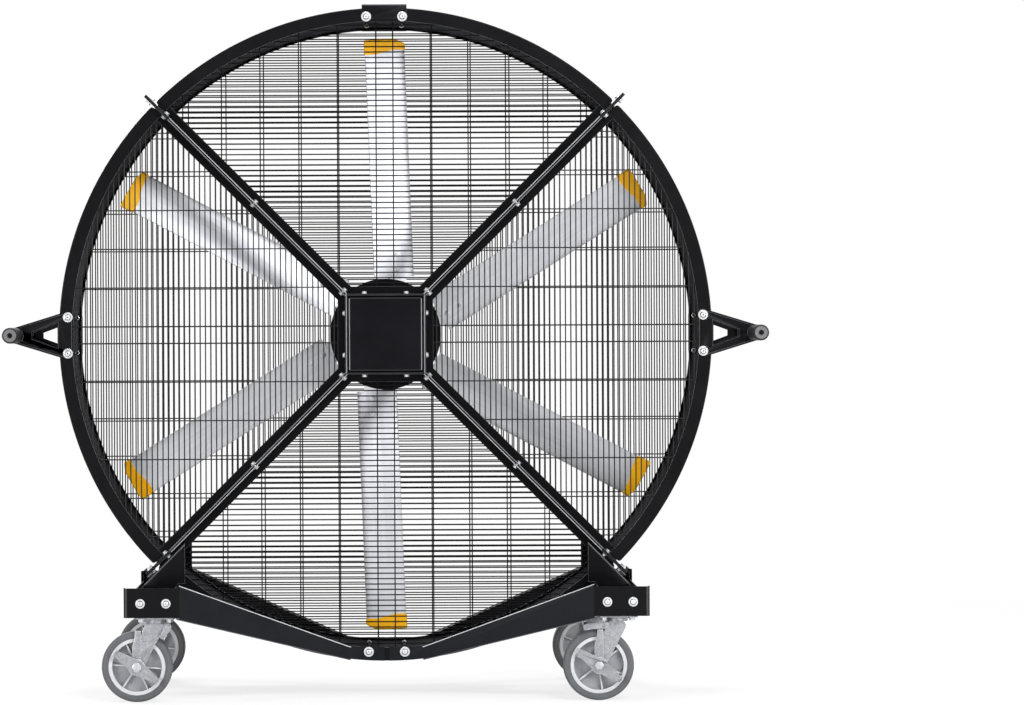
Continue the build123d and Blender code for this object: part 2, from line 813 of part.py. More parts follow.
def gusset_right_front():
    # the sloping edge runs below the diagonal of the fan by gusset_offset
    line = hub_height - gusset_offset * root2       # x + z on that edge
    inner = beam_inner + sheet
    outer = beam_outer - sheet
    foot = beam_bottom + sheet
    plate = polygon(
        (inner, foot), (outer, foot), (outer, line - outer),
        (gusset_inner, line - gusset_inner), (gusset_inner, beam_top), (inner, beam_top))
    lift = sheet * root2
    flange = polygon(
        (outer, line - outer), (gusset_inner, line - gusset_inner),
        (gusset_inner, line - gusset_inner + lift), (outer, line - outer + lift))
    return slab(plate + flange, -gusset_front, -gusset_front + sheet) \
        + slab(flange, -gusset_front, ring_front)


def base_bolts_right_front():
    fastener = bolt(base_bolt, 2 * sheet, base_washer, nut_washer=False)
    return [set_bolt(fastener, (x, base_front, block_bolt_height), (0, -1, 0)) for x in block_bolts]


# ------------------------------------------------------------------ casters
# Drawn about the swivel axis with the brake towards -Y; the wheel trails towards -X.

plate_bottom = beam_bottom - plate_thick
race_bottom = plate_bottom - race_height
crown_top = race_bottom - swivel_gap
crown_bottom = crown_top - crown_thick
leg_inner = wheel_width / 2 + leg_gap
leg_outer = leg_inner + leg_thick
link_outer = leg_outer + sheet
lever_inner = link_outer + lever_gap
brake_outer = lever_inner + brake_thick
caster_axle_bore = caster_axle / 2 + pivot_play


def caster_bolt_places(side):
    return [Pos(side * caster_x + x, y + yy, 0)
            for y in (-caster_y, caster_y)
            for x in (-caster_bolt_x, caster_bolt_x) for yy in (-caster_bolt_y, caster_bolt_y)]


def caster_plate():
    outline = fillet(Rectangle(plate_length, plate_width).vertices(), plate_corner)
    for x in (-caster_bolt_x, caster_bolt_x):
        for y in (-caster_bolt_y, caster_bolt_y):
            outline = outline - Pos(x, y) * Circle((caster_bolt + bolt_play) / 2)
    plate = Pos(0, 0, plate_bottom) * extrude(outline, amount=plate_thick)
    race = Pos(0, 0, race_bottom) * extrude(Circle(race_radius), amount=race_height)
    head_top = crown_bottom - swivel_gap
    pin = Pos(0, 0, head_top) * extrude(Circle(king_pin / 2), amount=race_bottom - head_top)
    head = Pos(0, 0, head_top - king_head) * extrude(Circle(king_head_radius), amount=king_head)
    return plate + race + pin + head


def wheel_centre(part):
    return Pos(-caster_trail, 0, wheel_radius) * part


def fork():
    # two legs joined by a crown that has the same rounded ends; the link stands in front of one leg
    top = crown_top - wheel_radius
    lobes = [Pos(x, top - leg_corner) * Circle(leg_corner)
             for x in (caster_trail - crown_behind + leg_corner, caster_trail + crown_ahead - leg_corner)]
    lobes.append(Circle(leg_foot_radius))
    outline = make_hull([edge for lobe in lobes for edge in lobe.edges()])
    crown = outline & Pos(0, top) * Rectangle(2 * plate_length, 2 * crown_thick)
    outline = outline - Circle(caster_axle / 2)
    leg = slab(outline, -leg_outer, -leg_inner)
    right = link_width / 2
    link = polygon((-right, link_low), (right, link_low), (right, link_high), (right - link_top, link_high),
                   (right - link_neck, link_neck_low), (-right, link_shoulder))
    body = leg + mirror(leg, about=Plane.XZ) + slab(crown, -leg_outer, leg_outer)
    body = wheel_centre(body + slab(link, -link_outer, -leg_outer + sink))
    body -= Pos(0, 0, crown_bottom) * Cylinder(king_pin / 2 + pivot_play, 4 * crown_thick)
    return body


def lock_pivot(side):
    return (side * lock_pivot_x, crown_top - lock_pivot_drop)


def lock_lug_piece(side):
    # ear of the front fork leg, out to the pivot of the lock lever
    x, z = lock_pivot(side)
    root = side * (crown_ahead - lock_lug)
    lobes = [Pos(place, z) * Circle(lock_lug) for place in (root, x)]
    outline = make_hull([edge for lobe in lobes for edge in lobe.edges()])
    return slab(outline, -leg_outer, -leg_inner)


def lock_pin_piece(side):
    x, z = lock_pivot(side)
    tip = -brake_outer - lock_pin_end
    pin = disc(lock_pin / 2, tip, -leg_inner)
    head = disc(lock_pin_head, tip, -brake_outer - lever_gap)
    return Pos(x, 0, z) * (pin + head)


def caster_axle_piece():
    washer_back = -brake_outer - lever_gap
    washer_front = washer_back - axle_washer
    hexagon = RegularPolygon(axle_hexagon, 6)
    rod = disc(caster_axle / 2, washer_front, leg_outer + locknut + axle_end)
    washer = disc(caster_axle, washer_front, washer_back)
    head = slab(hexagon, washer_front - axle_head, washer_front)
    nut = slab(hexagon, leg_outer, leg_outer + locknut)
    return wheel_centre(rod + washer + head + nut)


def wheel_core(phase):
    half = rim_width / 2
    hub = Circle(wheel_hub_radius)
    rim = Circle(rim_radius) - Circle(rim_radius - rim_thickness)
    core = slab(hub, -wheel_width / 2, wheel_width / 2) + slab(rim, -half, half)
    core += disc(rim_radius - sink, -wheel_web / 2, wheel_web / 2)
    rim_inner = rim_radius - rim_thickness
    middle = (wheel_hub_radius + rim_inner) / 2
    rib = Pos(0, middle) * Rectangle(rib_thickness, rim_inner - wheel_hub_radius + 4 * sink)
    for number in range(rib_count):
        core += Rot(0, phase + number * 360 / rib_count, 0) * slab(rib, -rib_width / 2, rib_width / 2)
    core -= disc(caster_axle_bore, -wheel_width, wheel_width)
    return wheel_centre(core)


def tyre():
    ring = disc(wheel_radius, -wheel_width / 2, wheel_width / 2, rim_radius)
    shoulders = [e for e in ring.edges().filter_by(GeomType.CIRCLE) if e.radius > rim_radius + sink]
    return wheel_centre(fillet(shoulders, tyre_round))


def brake_lever():
    half = brake_length / 2
    end = brake_end / 2
    neck = brake_middle_radius * brake_neck
    boss = Circle(brake_middle_radius)
    arm = polygon((-half, -end), (0, -neck), (half, -end), (half, end), (0, neck), (-half, end))
    face = (boss + arm) - Circle(caster_axle_bore)
    lever = slab(face, -brake_outer, -lever_inner)
    for x in (-half, half - tread_thick):
        lever += block(x, x + tread_thick, -brake_outer - tread_depth, -lever_inner, -end, end)
    return wheel_centre(Rot(0, -brake_angle, 0) * lever)


def lock_lever(side, angle, length):
    x, z = lock_pivot(side)
    half = lock_width / 2
    ends = [Circle(half), Pos(length - half, 0) * Circle(half * lock_taper)]
    outline = make_hull([edge for end in ends for edge in end.edges()])
    outline = outline - Circle(lock_pin / 2 + pivot_play)
    lever = slab(outline, -brake_outer, -lever_inner)
    lever += block(length - lock_width, length - lock_tread_inset,
                   -brake_outer - tread_depth, -lever_inner, half / 2, half / 2 + tread_thick)
    return Pos(x, 0, z) * Rot(0, -angle, 0) * lever


# side of the lock lever, its angle at rest and its length, and the phase of the wheel's ribs
caster_styles = {"left": (1, 244.0, 42.5, 34.5), "right": (-1, 185.0, 68.0, -8.0)}


# ------------------------------------------------------------------ terminal box

terminal_middle = (terminal_front + terminal_back) / 2


def terminal_box():
    # hollow box under the rear hub box, open only at its cable entry
    half = terminal_width / 2
    body = block(terminal_centre - half, terminal_centre + half,
                 terminal_front, terminal_back, -terminal_bottom, -box_half)
    body = fillet(body.edges().filter_by(Axis.Y).group_by(Axis.Z)[0], terminal_round)
    half -= terminal_wall
    body -= block(terminal_centre - half, terminal_centre + half,
                  terminal_front + terminal_wall, terminal_back - terminal_wall,
                  -terminal_bottom + terminal_wall, -box_half - terminal_wall)
    entry = Cylinder(gland_thread / 2 + gland_play, 4 * terminal_wall)
    body -= Pos(terminal_centre, terminal_middle, -terminal_bottom) * entry
    return lifted(body)


def cable_gland():
    thread = extrude(Circle(gland_thread / 2), amount=terminal_wall + gland_inside)
    hexagon = extrude(RegularPolygon(gland_hexagon, 6), amount=-gland_hexagon_height)
    dome = extrude(Circle(gland_dome), amount=-gland_length)
    dome = fillet(dome.edges().group_by(Axis.Z)[0], gland_round)
    body = thread + hexagon + dome - Cylinder(gland_bore / 2, 4 * gland_length)
    return lifted(Pos(terminal_centre, terminal_middle, -terminal_bottom) * body)


# ------------------------------------------------------------------ assembly

quadrants = {"top": 0, "right": 90, "bottom": 180, "left": 270}
ring_piece = ring_quadrant()
for name, angle in quadrants.items():
    keep(f"ring_{name}", around(ring_piece, angle))

guard_piece = guard()
keep("front_guards", *[around(guard_piece, angle) for angle in quadrants.values()])
rear_guard = mirror(guard_piece, about=Plane.XZ)
keep("rear_guards", *[around(rear_guard, angle) for angle in quadrants.values()])

keep("tie_plates", *[around(piece, angle) for angle in diagonals for piece in tie_plates()])
keep("strut_bolts", *[around(copy, angle) for angle in quadrants.values()
                      for piece in strut_bolts() for copy in front_and_back(piece)])
keep("ring_bolts", *[copy for piece in ring_bolts() for copy in front_and_back(piece)])
keep("hub_bolts", *[copy for piece in hub_bolts() for copy in front_and_back(piece)])

box_front, box_rear = front_and_back(lifted(hub_box_shell()))
cover_front, cover_rear = front_and_back(lifted(hub_cover_shell()))
keep("hub_box_front", box_front)
keep("hub_box_rear", box_rear)
keep("hub_cover_front", cover_front)
keep("hub_cover_rear", cover_rear)
keep("motor_axle", lifted(motor_axle()))
keep("stator_core", lifted(stator_core()))
keep("stator_coils", *[lifted(coil) for coil in stator_coils()])
keep("motor_bearings", *[lifted(bearing) for bearing in motor_bearings()])
keep("terminal_box", terminal_box())
keep("cable_gland", cable_gland())

keep("rotor_can", lifted(rotor_can()))
keep("rotor_magnets", *[lifted(magnet) for magnet in rotor_magnets()])
keep("hub_plates", *[lifted(plate) for plate in front_and_back(hub_plate())])
keep("blade_roots", *at_blades(blade_root_piece()))
keep("blades", *at_blades(blade()))
keep("winglets", *at_blades(winglet()))
keep("blade_bolts", *at_blades(*blade_bolts()))

keep("top_bracket", top_bracket())
keep("handle_plates", *[copy for plate in front_and_back(handle_plate_right())
                        for copy in left_and_right(plate)])
keep("handle_bars", *left_and_right(handle_bar_right()))
keep("handle_grips", *[copy for grip in handle_grips_right() for copy in left_and_right(grip)])

beam_right, beam_left = left_and_right(caster_beam_right())
keep("caster_beam_right", beam_right)
keep("caster_beam_left", beam_left)
arms_front = left_and_right(base_arm_right_front())
keep("base_arms_front", *arms_front)
keep("base_arms_rear", *[mirror(arm, about=Plane.XZ) for arm in arms_front])
keep("gussets", *[copy for side in left_and_right(gusset_right_front())
                  for copy in front_and_back(side)])
keep("base_bolts", *[copy for piece in base_bolts_right_front()
                     for side in left_and_right(piece) for copy in front_and_back(side)])

caster_fastener = bolt(caster_bolt, plate_thick + sheet, 2 * caster_bolt)
plates = []
bolts = []
for side_name, side in (("left", -1), ("right", 1)):
    lock_side, lock_angle, lock_length, phase = caster_styles[side_name]
    bolts += [place * Pos(0, 0, beam_bottom + sheet) * caster_fastener
              for place in caster_bolt_places(side)]
    for end_name, end in (("front", -1), ("rear", 1)):
        pieces = {
            "fork": [fork() + lock_lug_piece(lock_side) + lock_pin_piece(lock_side), caster_axle_piece()],
            "wheel": [wheel_core(phase)],
            "tyre": [tyre()],
            "brake_lever": [brake_lever()],
            "swivel_lock": [lock_lever(lock_side, lock_angle, lock_length)],
        }
        place = Pos(side * caster_x, end * caster_y, 0)
        plates.append(place * caster_plate())
        for kind, solids in pieces.items():
            # the rear casters are mirror images, with their brakes towards the rear
            if end > 0:
                solids = [mirror(solid, about=Plane.XZ) for solid in solids]
            keep(f"{kind}_{end_name}_{side_name}", *[place * solid for solid in solids])
keep("caster_plates", *plates)
keep("caster_bolts", *bolts)

os.makedirs("parts", exist_ok=True)
for name, part in PARTS.items():
    export_step(part, f"parts/{name}.step")
print(len(PARTS), "nodes")
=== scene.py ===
import bpy
import bmesh
import json
from math import asin, atan2, cos, degrees, hypot, pi, radians, sin, sqrt
from mathutils import Matrix, Vector


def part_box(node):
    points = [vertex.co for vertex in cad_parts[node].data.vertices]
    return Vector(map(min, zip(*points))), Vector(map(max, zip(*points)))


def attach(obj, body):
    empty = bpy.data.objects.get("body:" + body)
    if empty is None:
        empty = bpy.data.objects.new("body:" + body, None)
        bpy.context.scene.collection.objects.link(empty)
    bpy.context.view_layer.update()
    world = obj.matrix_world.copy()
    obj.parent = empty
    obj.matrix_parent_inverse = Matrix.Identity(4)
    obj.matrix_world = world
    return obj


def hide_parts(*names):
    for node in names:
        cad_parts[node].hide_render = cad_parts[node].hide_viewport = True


# Drum fan on a wheeled stand. Metres, +Z up, front towards -Y, floor at z = 0.

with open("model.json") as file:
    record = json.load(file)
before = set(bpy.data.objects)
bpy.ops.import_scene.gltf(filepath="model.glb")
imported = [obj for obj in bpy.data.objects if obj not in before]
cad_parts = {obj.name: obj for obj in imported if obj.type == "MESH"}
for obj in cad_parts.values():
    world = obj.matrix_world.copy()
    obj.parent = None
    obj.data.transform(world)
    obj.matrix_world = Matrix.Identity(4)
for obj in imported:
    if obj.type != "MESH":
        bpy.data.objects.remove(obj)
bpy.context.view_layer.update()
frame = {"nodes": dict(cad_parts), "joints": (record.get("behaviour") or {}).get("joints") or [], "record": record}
nodes = frame["nodes"]
record = frame["record"]
slotOf = {part["node"]: part["material_slot"] for part in record["subparts"]}
bodyOf = {node: body for body, members in record["behaviour"]["bodies"].items() for node in members}
rotorJoint = next(joint for joint in frame["joints"] if joint["name"] == "rotor_spin")
hub = Vector(rotorJoint["pos_m"])
root2 = sqrt(2)
print("frame loaded:", len(nodes), "nodes")


# camera, floor and light

studio = {
    "photoWidth": 1024, "photoHeight": 705,
    "hubPixel": (385.5, 334.1),      # where the hub axis stands in the photograph
    "distance": 10.9675,             # camera in front of the hub axis
    "lens": 124.5, "sensor": 36.0,
    "roll": 0.25,
    "floorSize": 80.0,
    "floorTone": (0.86, 0.86, 0.865, 1.0),
    "floorGlow": 0.75,               # share of plain white in the floor under the fan
    "floorFade": (2.2, 5.0),         # between these distances the floor turns wholly white
    "worldStrength": 0.42,
}
lamps = [
    # name, place, aimed at, size, power
    ("keyLamp", (2.2, -4.6, 4.9), (0, 0, 1.2), 2.0, 250),
    ("leftLamp", (-4.2, -3.9, 1.5), (0, 0, 1.1), 1.6, 130),
    ("rightLamp", (4.2, -3.9, 1.5), (0, 0, 1.1), 1.6, 130),
    ("topLamp", (-0.4, 0.4, 5.4), (0, 0, 1.1), 3.0, 190),
    ("backLamp", (-2.4, 5.2, 3.6), (0, 0, 1.2), 3.0, 170),
]


def aimed(place, target):
    return (Vector(target) - Vector(place)).to_track_quat("-Z", "Y").to_matrix().to_4x4()


def makeCamera():
    data = bpy.data.cameras.new("photoCamera")
    data.sensor_width = studio["sensor"]
    data.sensor_fit = "HORIZONTAL"
    data.lens = studio["lens"]
    width = studio["photoWidth"]
    column, row = studio["hubPixel"]
    data.shift_x = (width / 2 - column) / width
    data.shift_y = (row - studio["photoHeight"] / 2) / width
    data.clip_end = 200
    camera = bpy.data.objects.new("photoCamera", data)
    bpy.context.scene.collection.objects.link(camera)
    camera.location = (hub.x, hub.y - studio["distance"], hub.z)
    camera.rotation_euler = (radians(90), radians(studio["roll"]), 0)
    bpy.context.scene.camera = camera


def makeLamps():
    for name, place, target, size, power in lamps:
        data = bpy.data.lights.new(name, "AREA")
        data.shape = "DISK"
        data.size = size
        data.energy = power
        lamp = bpy.data.objects.new(name, data)
        bpy.context.scene.collection.objects.link(lamp)
        lamp.matrix_world = Matrix.Translation(place) @ aimed(place, target)


# shader graphs

class Signal:
    # one output socket; sums and products of signals add their Math nodes
    def __init__(self, graph, socket):
        self.graph = graph
        self.socket = socket

    def maths(self, operation, first, second):
        return self.graph.node("ShaderNodeMath", {"operation": operation}, {0: first, 1: second})

    def __add__(self, other):
        return self.maths("ADD", self, other)

    def __mul__(self, other):
        return self.maths("MULTIPLY", self, other)

    def __sub__(self, other):
        return self.maths("SUBTRACT", self, other)

    def __rsub__(self, other):
        return self.maths("SUBTRACT", other, self)

    def __gt__(self, other):
        return self.maths("GREATER_THAN", self, other)

    def __abs__(self):
        return self.maths("ABSOLUTE", self, 0)

    __radd__ = __add__
    __rmul__ = __mul__


class Graph:
    def __init__(self, tree):
        self.tree = tree

    def node(self, kind, settings=None, sockets=None, output=0):
        made = self.tree.nodes.new(kind)
        for key, value in (settings or {}).items():
            if key == "stops":
                self.fillRamp(made.color_ramp, value)
            else:
                setattr(made, key, value)
        for key, value in (sockets or {}).items():
            if isinstance(value, Signal):
                self.tree.links.new(value.socket, made.inputs[key])
            else:
                made.inputs[key].default_value = value
        return Signal(self, made.outputs[output])

    def fillRamp(self, ramp, stops):
        while len(ramp.elements) < len(stops):
            ramp.elements.new(0.5)
        for element, (place, tone) in zip(ramp.elements, stops):
            element.position = place
            element.color = (tone, tone, tone, 1)

    def noise(self, vector, scale, detail=2.0, roughness=0.5):
        return self.node("ShaderNodeTexNoise", None,
                         {"Vector": vector, "Scale": scale, "Detail": detail, "Roughness": roughness})

    def ramp(self, value, *stops):
        return self.node("ShaderNodeValToRGB", {"stops": stops}, {0: value})

    def blend(self, mask, first, second):
        return self.node("ShaderNodeMix", {"data_type": "RGBA"}, {0: mask, 6: first, 7: second}, 2)

    def bump(self, height, distance, strength=1.0):
        return self.node("ShaderNodeBump", None,
                         {"Height": height, "Distance": distance, "Strength": strength})


class Finish(Graph):
    # a material with its Principled shader ready to be fed
    def __init__(self, name, **constants):
        self.material = bpy.data.materials.new(name)
        self.material.use_nodes = True
        super().__init__(self.material.node_tree)
        self.shader = self.tree.nodes["Principled BSDF"]
        self.place = self.node("ShaderNodeTexCoord", output=3)
        self.uv = self.node("ShaderNodeTexCoord", output=2)
        for key, value in constants.items():
            self.shader.inputs[key.replace("_", " ")].default_value = value

    def feed(self, **signals):
        for key, signal in signals.items():
            self.tree.links.new(signal.socket, self.shader.inputs[key.replace("_", " ")])


def tone(red, green, blue):
    # a colour as it looks on screen, in the linear light that the shader wants
    def linear(value):
        value /= 255
        return value / 12.92 if value <= 0.04045 else ((value + 0.055) / 1.055) ** 2.4
    return (linear(red), linear(green), linear(blue), 1.0)


def makeWorld():
    world = bpy.data.worlds.new("studioWorld")
    bpy.context.scene.world = world
    world.use_nodes = True
    graph = Graph(world.node_tree)
    background = world.node_tree.nodes["Background"]
    background.inputs["Color"].default_value = (1, 1, 1, 1)
    camera = graph.node("ShaderNodeLightPath", output=0)
    glossy = graph.node("ShaderNodeLightPath", output=3)
    through = graph.node("ShaderNodeLightPath", output=6)
    seen = graph.node("ShaderNodeMath", {"operation": "MAXIMUM"}, {0: camera, 1: glossy})
    seen = graph.node("ShaderNodeMath", {"operation": "MAXIMUM"}, {0: seen, 1: through})
    level = seen * (1 - studio["worldStrength"]) + studio["worldStrength"]
    world.node_tree.links.new(level.socket, background.inputs["Strength"])


def makeFloor():
    mesh = bmesh.new()
    bmesh.ops.create_grid(mesh, x_segments=1, y_segments=1, size=studio["floorSize"] / 2)
    data = bpy.data.meshes.new("floor")
    mesh.to_mesh(data)
    mesh.free()
    floor = bpy.data.objects.new("floor", data)
    bpy.context.scene.collection.objects.link(floor)
    finish = Finish("floorPaper", Roughness=0.7, Specular_IOR_Level=0.1)
    finish.shader.inputs["Base Color"].default_value = studio["floorTone"]
    glow = finish.node("ShaderNodeEmission", None, {"Color": (1, 1, 1, 1), "Strength": 1.0})
    camera = finish.node("ShaderNodeLightPath", output=0)
    away = finish.node("ShaderNodeVectorMath", {"operation": "LENGTH"}, {0: finish.place}, 1)
    near, far = studio["floorFade"]
    fade = finish.node("ShaderNodeMapRange", {"interpolation_type": "SMOOTHSTEP"},
                       {0: away, 1: near, 2: far, 3: studio["floorGlow"], 4: 1.0})
    lit = Signal(finish, finish.shader.outputs[0])
    mixed = finish.node("ShaderNodeMixShader", None, {0: camera * fade, 1: lit, 2: glow})
    finish.tree.links.new(mixed.socket, finish.tree.nodes["Material Output"].inputs["Surface"])
    data.materials.append(finish.material)


bpy.context.scene.view_settings.view_transform = "Standard"
makeCamera()
makeLamps()
makeWorld()
makeFloor()
print("camera, lamps and floor ready")


# finishes

coats = {
    # colour on screen, gloss, size of the orange peel bumps per metre, their depth, reflectance, edge tone
    # (painted highlight)
    "ring": {"colour": (9, 9, 12), "roughness": 0.34, "peel": 620, "depth": 0.00010, "specular": 0.08,
             "edge": (128, 129, 134)},
    # the arm coat is painted lighter than the ring coat, painted light for the arm webs that are turned aside
    "arm": {"colour": (18, 19, 23), "roughness": 0.40, "peel": 620, "depth": 0.00010, "specular": 0.08,
            "edge": (214, 215, 219)},
    "guard": {"colour": (6, 6, 8), "roughness": 0.36, "peel": 900, "depth": 0.00005, "specular": 0.06,
              "edge": (190, 191, 195)},
    "wire": {"colour": (5, 5, 7), "roughness": 0.32, "peel": 900, "depth": 0.00003, "specular": 0.25,
             "edge": (120, 121, 125)},
    "hub": {"colour": (9, 9, 13), "roughness": 0.30, "peel": 700, "depth": 0.00006, "specular": 0.08,
            "edge": (178, 179, 185)},
    "plastic": {"colour": (14, 14, 16), "roughness": 0.5, "peel": 1500, "depth": 0.00005, "specular": 0.2,
                "edge": (70, 70, 74)},
}
armBlock = {"from": 0.6185, "colour": (11, 11, 13)}      # the block where an arm clasps the beam is painted darker, painted shade beside the arm web painted lighter


def coatFinish(name):
    # powder coat: fine orange peel, a little dust in the gloss, pale along its edges as a painted highlight,
    # partly also the coat worn thin there
    settings = coats[name]
    finish = Finish(name + "Coat", Specular_IOR_Level=settings["specular"])
    colour = tone(*settings["colour"])
    rubbed = tuple(min(1, value * 1.9 + 0.003) for value in colour[:3]) + (1,)
    patches = finish.ramp(finish.noise(finish.place, 7, 5, 0.62), (0.42, 0), (0.78, 1))
    speckle = finish.ramp(finish.noise(finish.place, 260, 2, 0.5), (0.55, 0), (0.8, 1))
    peel = finish.noise(finish.place, settings["peel"], 2, 0.45)
    edge = finish.node("ShaderNodeAttribute", {"attribute_name": "edge"}, output=2)
    # painted highlight: faces of the edge layer blend towards the edge tone, broken up by noise
    thin = edge * (0.6 + finish.noise(finish.place, 30, 3, 0.6) * 0.6)
    flat = finish.blend(patches * 0.35 + speckle * 0.25, colour, rubbed)
    # painted light and shade on one coat: the angled arm web lighter, the block over the beam darker
    if name == "arm":
        across = abs(finish.node("ShaderNodeSeparateXYZ", None, {0: finish.place}))
        flat = finish.blend(across > armBlock["from"], flat, tone(*armBlock["colour"]))
    finish.feed(
        Base_Color=finish.blend(thin, flat, tone(*settings["edge"])),
        Roughness=patches * 0.12 + speckle * 0.06 + settings["roughness"],
        Normal=finish.bump(peel, settings["depth"], 0.8))
    return finish.material


def zincFinish(name, light, dark, roughness, spangle, edgeHighlightTone=(240, 241, 243), paintedShadeTone=(52, 52, 55)):
    # plated steel: small spangle, a cloudy haze, fine grain, a painted highlight along its edges, painted shade in
    # its grooves
    finish = Finish(name, Metallic=0.75)
    cells = finish.node("ShaderNodeTexVoronoi", {"feature": "F1"}, {"Vector": finish.place, "Scale": spangle})
    haze = finish.noise(finish.place, spangle * 0.25, 4, 0.65)
    grain = finish.noise(finish.place, 1400, 2, 0.5)
    mask = finish.ramp(cells * 0.5 + haze * 0.7, (0.36, 0), (0.78, 1))
    edge = finish.node("ShaderNodeAttribute", {"attribute_name": "edge"}, output=2)
    # edges painted bright as a painted highlight, negative edge values paint grooves dark as painted shade
    plated = finish.blend(edge, finish.blend(mask, tone(*light), tone(*dark)), tone(*edgeHighlightTone))
    finish.feed(
        Base_Color=finish.blend(edge * -1, plated, tone(*paintedShadeTone)),
        Roughness=mask * 0.16 + grain * 0.06 + roughness,
        Normal=finish.bump(grain + mask * 0.5, 0.00010, 0.5))
    return finish.material


def bladeFinish():
    # satin anodised extrusion: die lines run the length of the blade, u across it, v along it
    finish = Finish("bladeAluminium", Metallic=0.35, Specular_IOR_Level=0.5)
    stretched = finish.node("ShaderNodeMapping", None, {"Vector": finish.uv, "Scale": (900, 7, 1)})
    wide = finish.node("ShaderNodeMapping", None, {"Vector": finish.uv, "Scale": (55, 1.2, 1)})
    lines = finish.noise(stretched, 1.0, 3, 0.6)
    bands = finish.noise(wide, 1.0, 2, 0.5)
    cloud = finish.noise(finish.place, 9, 4, 0.6)
    mask = finish.ramp(lines * 0.55 + bands * 0.35 + cloud * 0.25, (0.35, 0), (0.85, 1))
    finish.feed(
        Base_Color=finish.blend(mask, tone(212, 213, 217), tone(176, 178, 183)),
        Roughness=mask * 0.14 + 0.32,
        Normal=finish.bump(lines, 0.00005, 0.6))
    return finish.material


def mouldedFinish(name, colour, shade, roughness, grain=1500, specular=0.5, edgeHighlightTone=(255, 255, 255)):
    # moulded plastic: fine spark-eroded grain, faint flow clouds and rims painted lighter, a painted highlight
    finish = Finish(name, Specular_IOR_Level=specular)
    cloud = finish.ramp(finish.noise(finish.place, 24, 4, 0.55), (0.35, 0), (0.75, 1))
    skin = finish.noise(finish.place, grain, 2, 0.5)
    edge = finish.node("ShaderNodeAttribute", {"attribute_name": "edge"}, output=2)
    finish.feed(
        Base_Color=finish.blend(edge * 0.6, finish.blend(cloud, tone(*colour), tone(*shade)), tone(*edgeHighlightTone)),
        Roughness=cloud * 0.08 + skin * 0.06 + roughness,
        Normal=finish.bump(skin, 0.00008, 0.5))
    return finish.material


def rubberFinish(name, colour, dust, roughness, endHighlightTone=(136, 136, 138)):
    # rubber: matt skin with dust lying in broad patches and fine scuffs; faces in the edge layer get a painted
    # highlight
    finish = Finish(name, Specular_IOR_Level=0.3)
    patches = finish.ramp(finish.noise(finish.place, 16, 5, 0.65), (0.4, 0), (0.75, 1))
    scuffs = finish.ramp(finish.noise(finish.place, 170, 4, 0.7), (0.52, 0), (0.7, 1))
    skin = finish.noise(finish.place, 800, 3, 0.6)
    edge = finish.node("ShaderNodeAttribute", {"attribute_name": "edge"}, output=2)
    dusty = finish.blend(patches * 0.6 + scuffs * 0.3, tone(*colour), tone(*dust))
    finish.feed(
        Base_Color=finish.blend(edge, dusty, tone(*endHighlightTone)),
        Roughness=patches * 0.1 + roughness,
        Normal=finish.bump(skin + scuffs * 0.4, 0.00018, 0.6))
    return finish.material


finishes = {
    "black_coat": coatFinish("ring"),
    "arm_coat": coatFinish("arm"),
    "guard_coat": coatFinish("guard"),
    "wire_coat": coatFinish("wire"),
    "hub_coat": coatFinish("hub"),
    "dark_plastic": coatFinish("plastic"),
    "zinc": zincFinish("zincPlate", (168, 170, 174), (130, 132, 137), 0.30, 380),
    "bolt_zinc": zincFinish("boltZinc", (216, 218, 222), (172, 174, 179), 0.22, 900),
    # hub bolts get this brighter copy of the plating, painted light for bolts sitting in the hub box's shade
    "bright_zinc": zincFinish("brightZinc", (238, 239, 242), (206, 208, 212), 0.3, 900),
    "steel": zincFinish("turnedSteel", (196, 197, 200), (150, 152, 156), 0.22, 300),
    "blade_aluminium": bladeFinish(),
    "winglet_yellow": mouldedFinish("wingletYellow", (255, 190, 0), (250, 176, 0), 0.36, 1100, 0.2),
    "core_grey": mouldedFinish("wheelCoreGrey", (156, 158, 162), (128, 131, 135), 0.38),
    "tyre_grey": rubberFinish("tyreGrey", (82, 84, 87), (99, 101, 104), 0.62),
    "grip_rubber": rubberFinish("gripRubber", (15, 15, 17), (26, 26, 28), 0.5),
    "core_iron": zincFinish("laminatedIron", (110, 108, 106), (78, 77, 76), 0.45, 500),
    "copper": zincFinish("enamelledCopper", (196, 118, 66), (150, 82, 44), 0.3, 260),
    "magnet": zincFinish("sinteredMagnet", (92, 92, 96), (66, 66, 70), 0.4, 240),
}
for nodeName, cadObject in nodes.items():
    cadObject.data.materials.clear()
    cadObject.data.materials.append(finishes[slotOf[nodeName]])
print("finishes ready:", len(finishes))


# making and finishing pieces

def stripWidth(face):
    # how wide a long thin face is
    return 2 * face.calc_area() / max(face.calc_perimeter(), 1e-9)


def landed(mesh, name, finish, body, slot, replaced=(), sharp=38.0, flatFrom=None):
    # turns a bmesh into a named piece that rides on its body; faces wider than flatFrom are shaded flat
    bmesh.ops.dissolve_degenerate(mesh, dist=1e-6, edges=mesh.edges)
    for face in mesh.faces:
        face.smooth = flatFrom is None or stripWidth(face) < flatFrom
    data = bpy.data.meshes.new(name)
    mesh.to_mesh(data)
    mesh.free()
    data.set_sharp_from_angle(angle=radians(sharp))
    piece = bpy.data.objects.new(name, data)
    bpy.context.scene.collection.objects.link(piece)
    data.materials.append(finish)
    if flatFrom is None:
        weighted = piece.modifiers.new("evenShading", "WEIGHTED_NORMAL")
        weighted.keep_sharp = True
    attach(piece, body)
    if replaced:
        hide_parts(*replaced)
    return piece


def paintedLightLayer(mesh):
    # how pale each face is painted: 0 on a flat, up to 1 for a painted highlight along an edge, below 0 for
    # painted shade in a groove or under a part
    return mesh.faces.layers.float.get("edge") or mesh.faces.layers.float.new("edge")


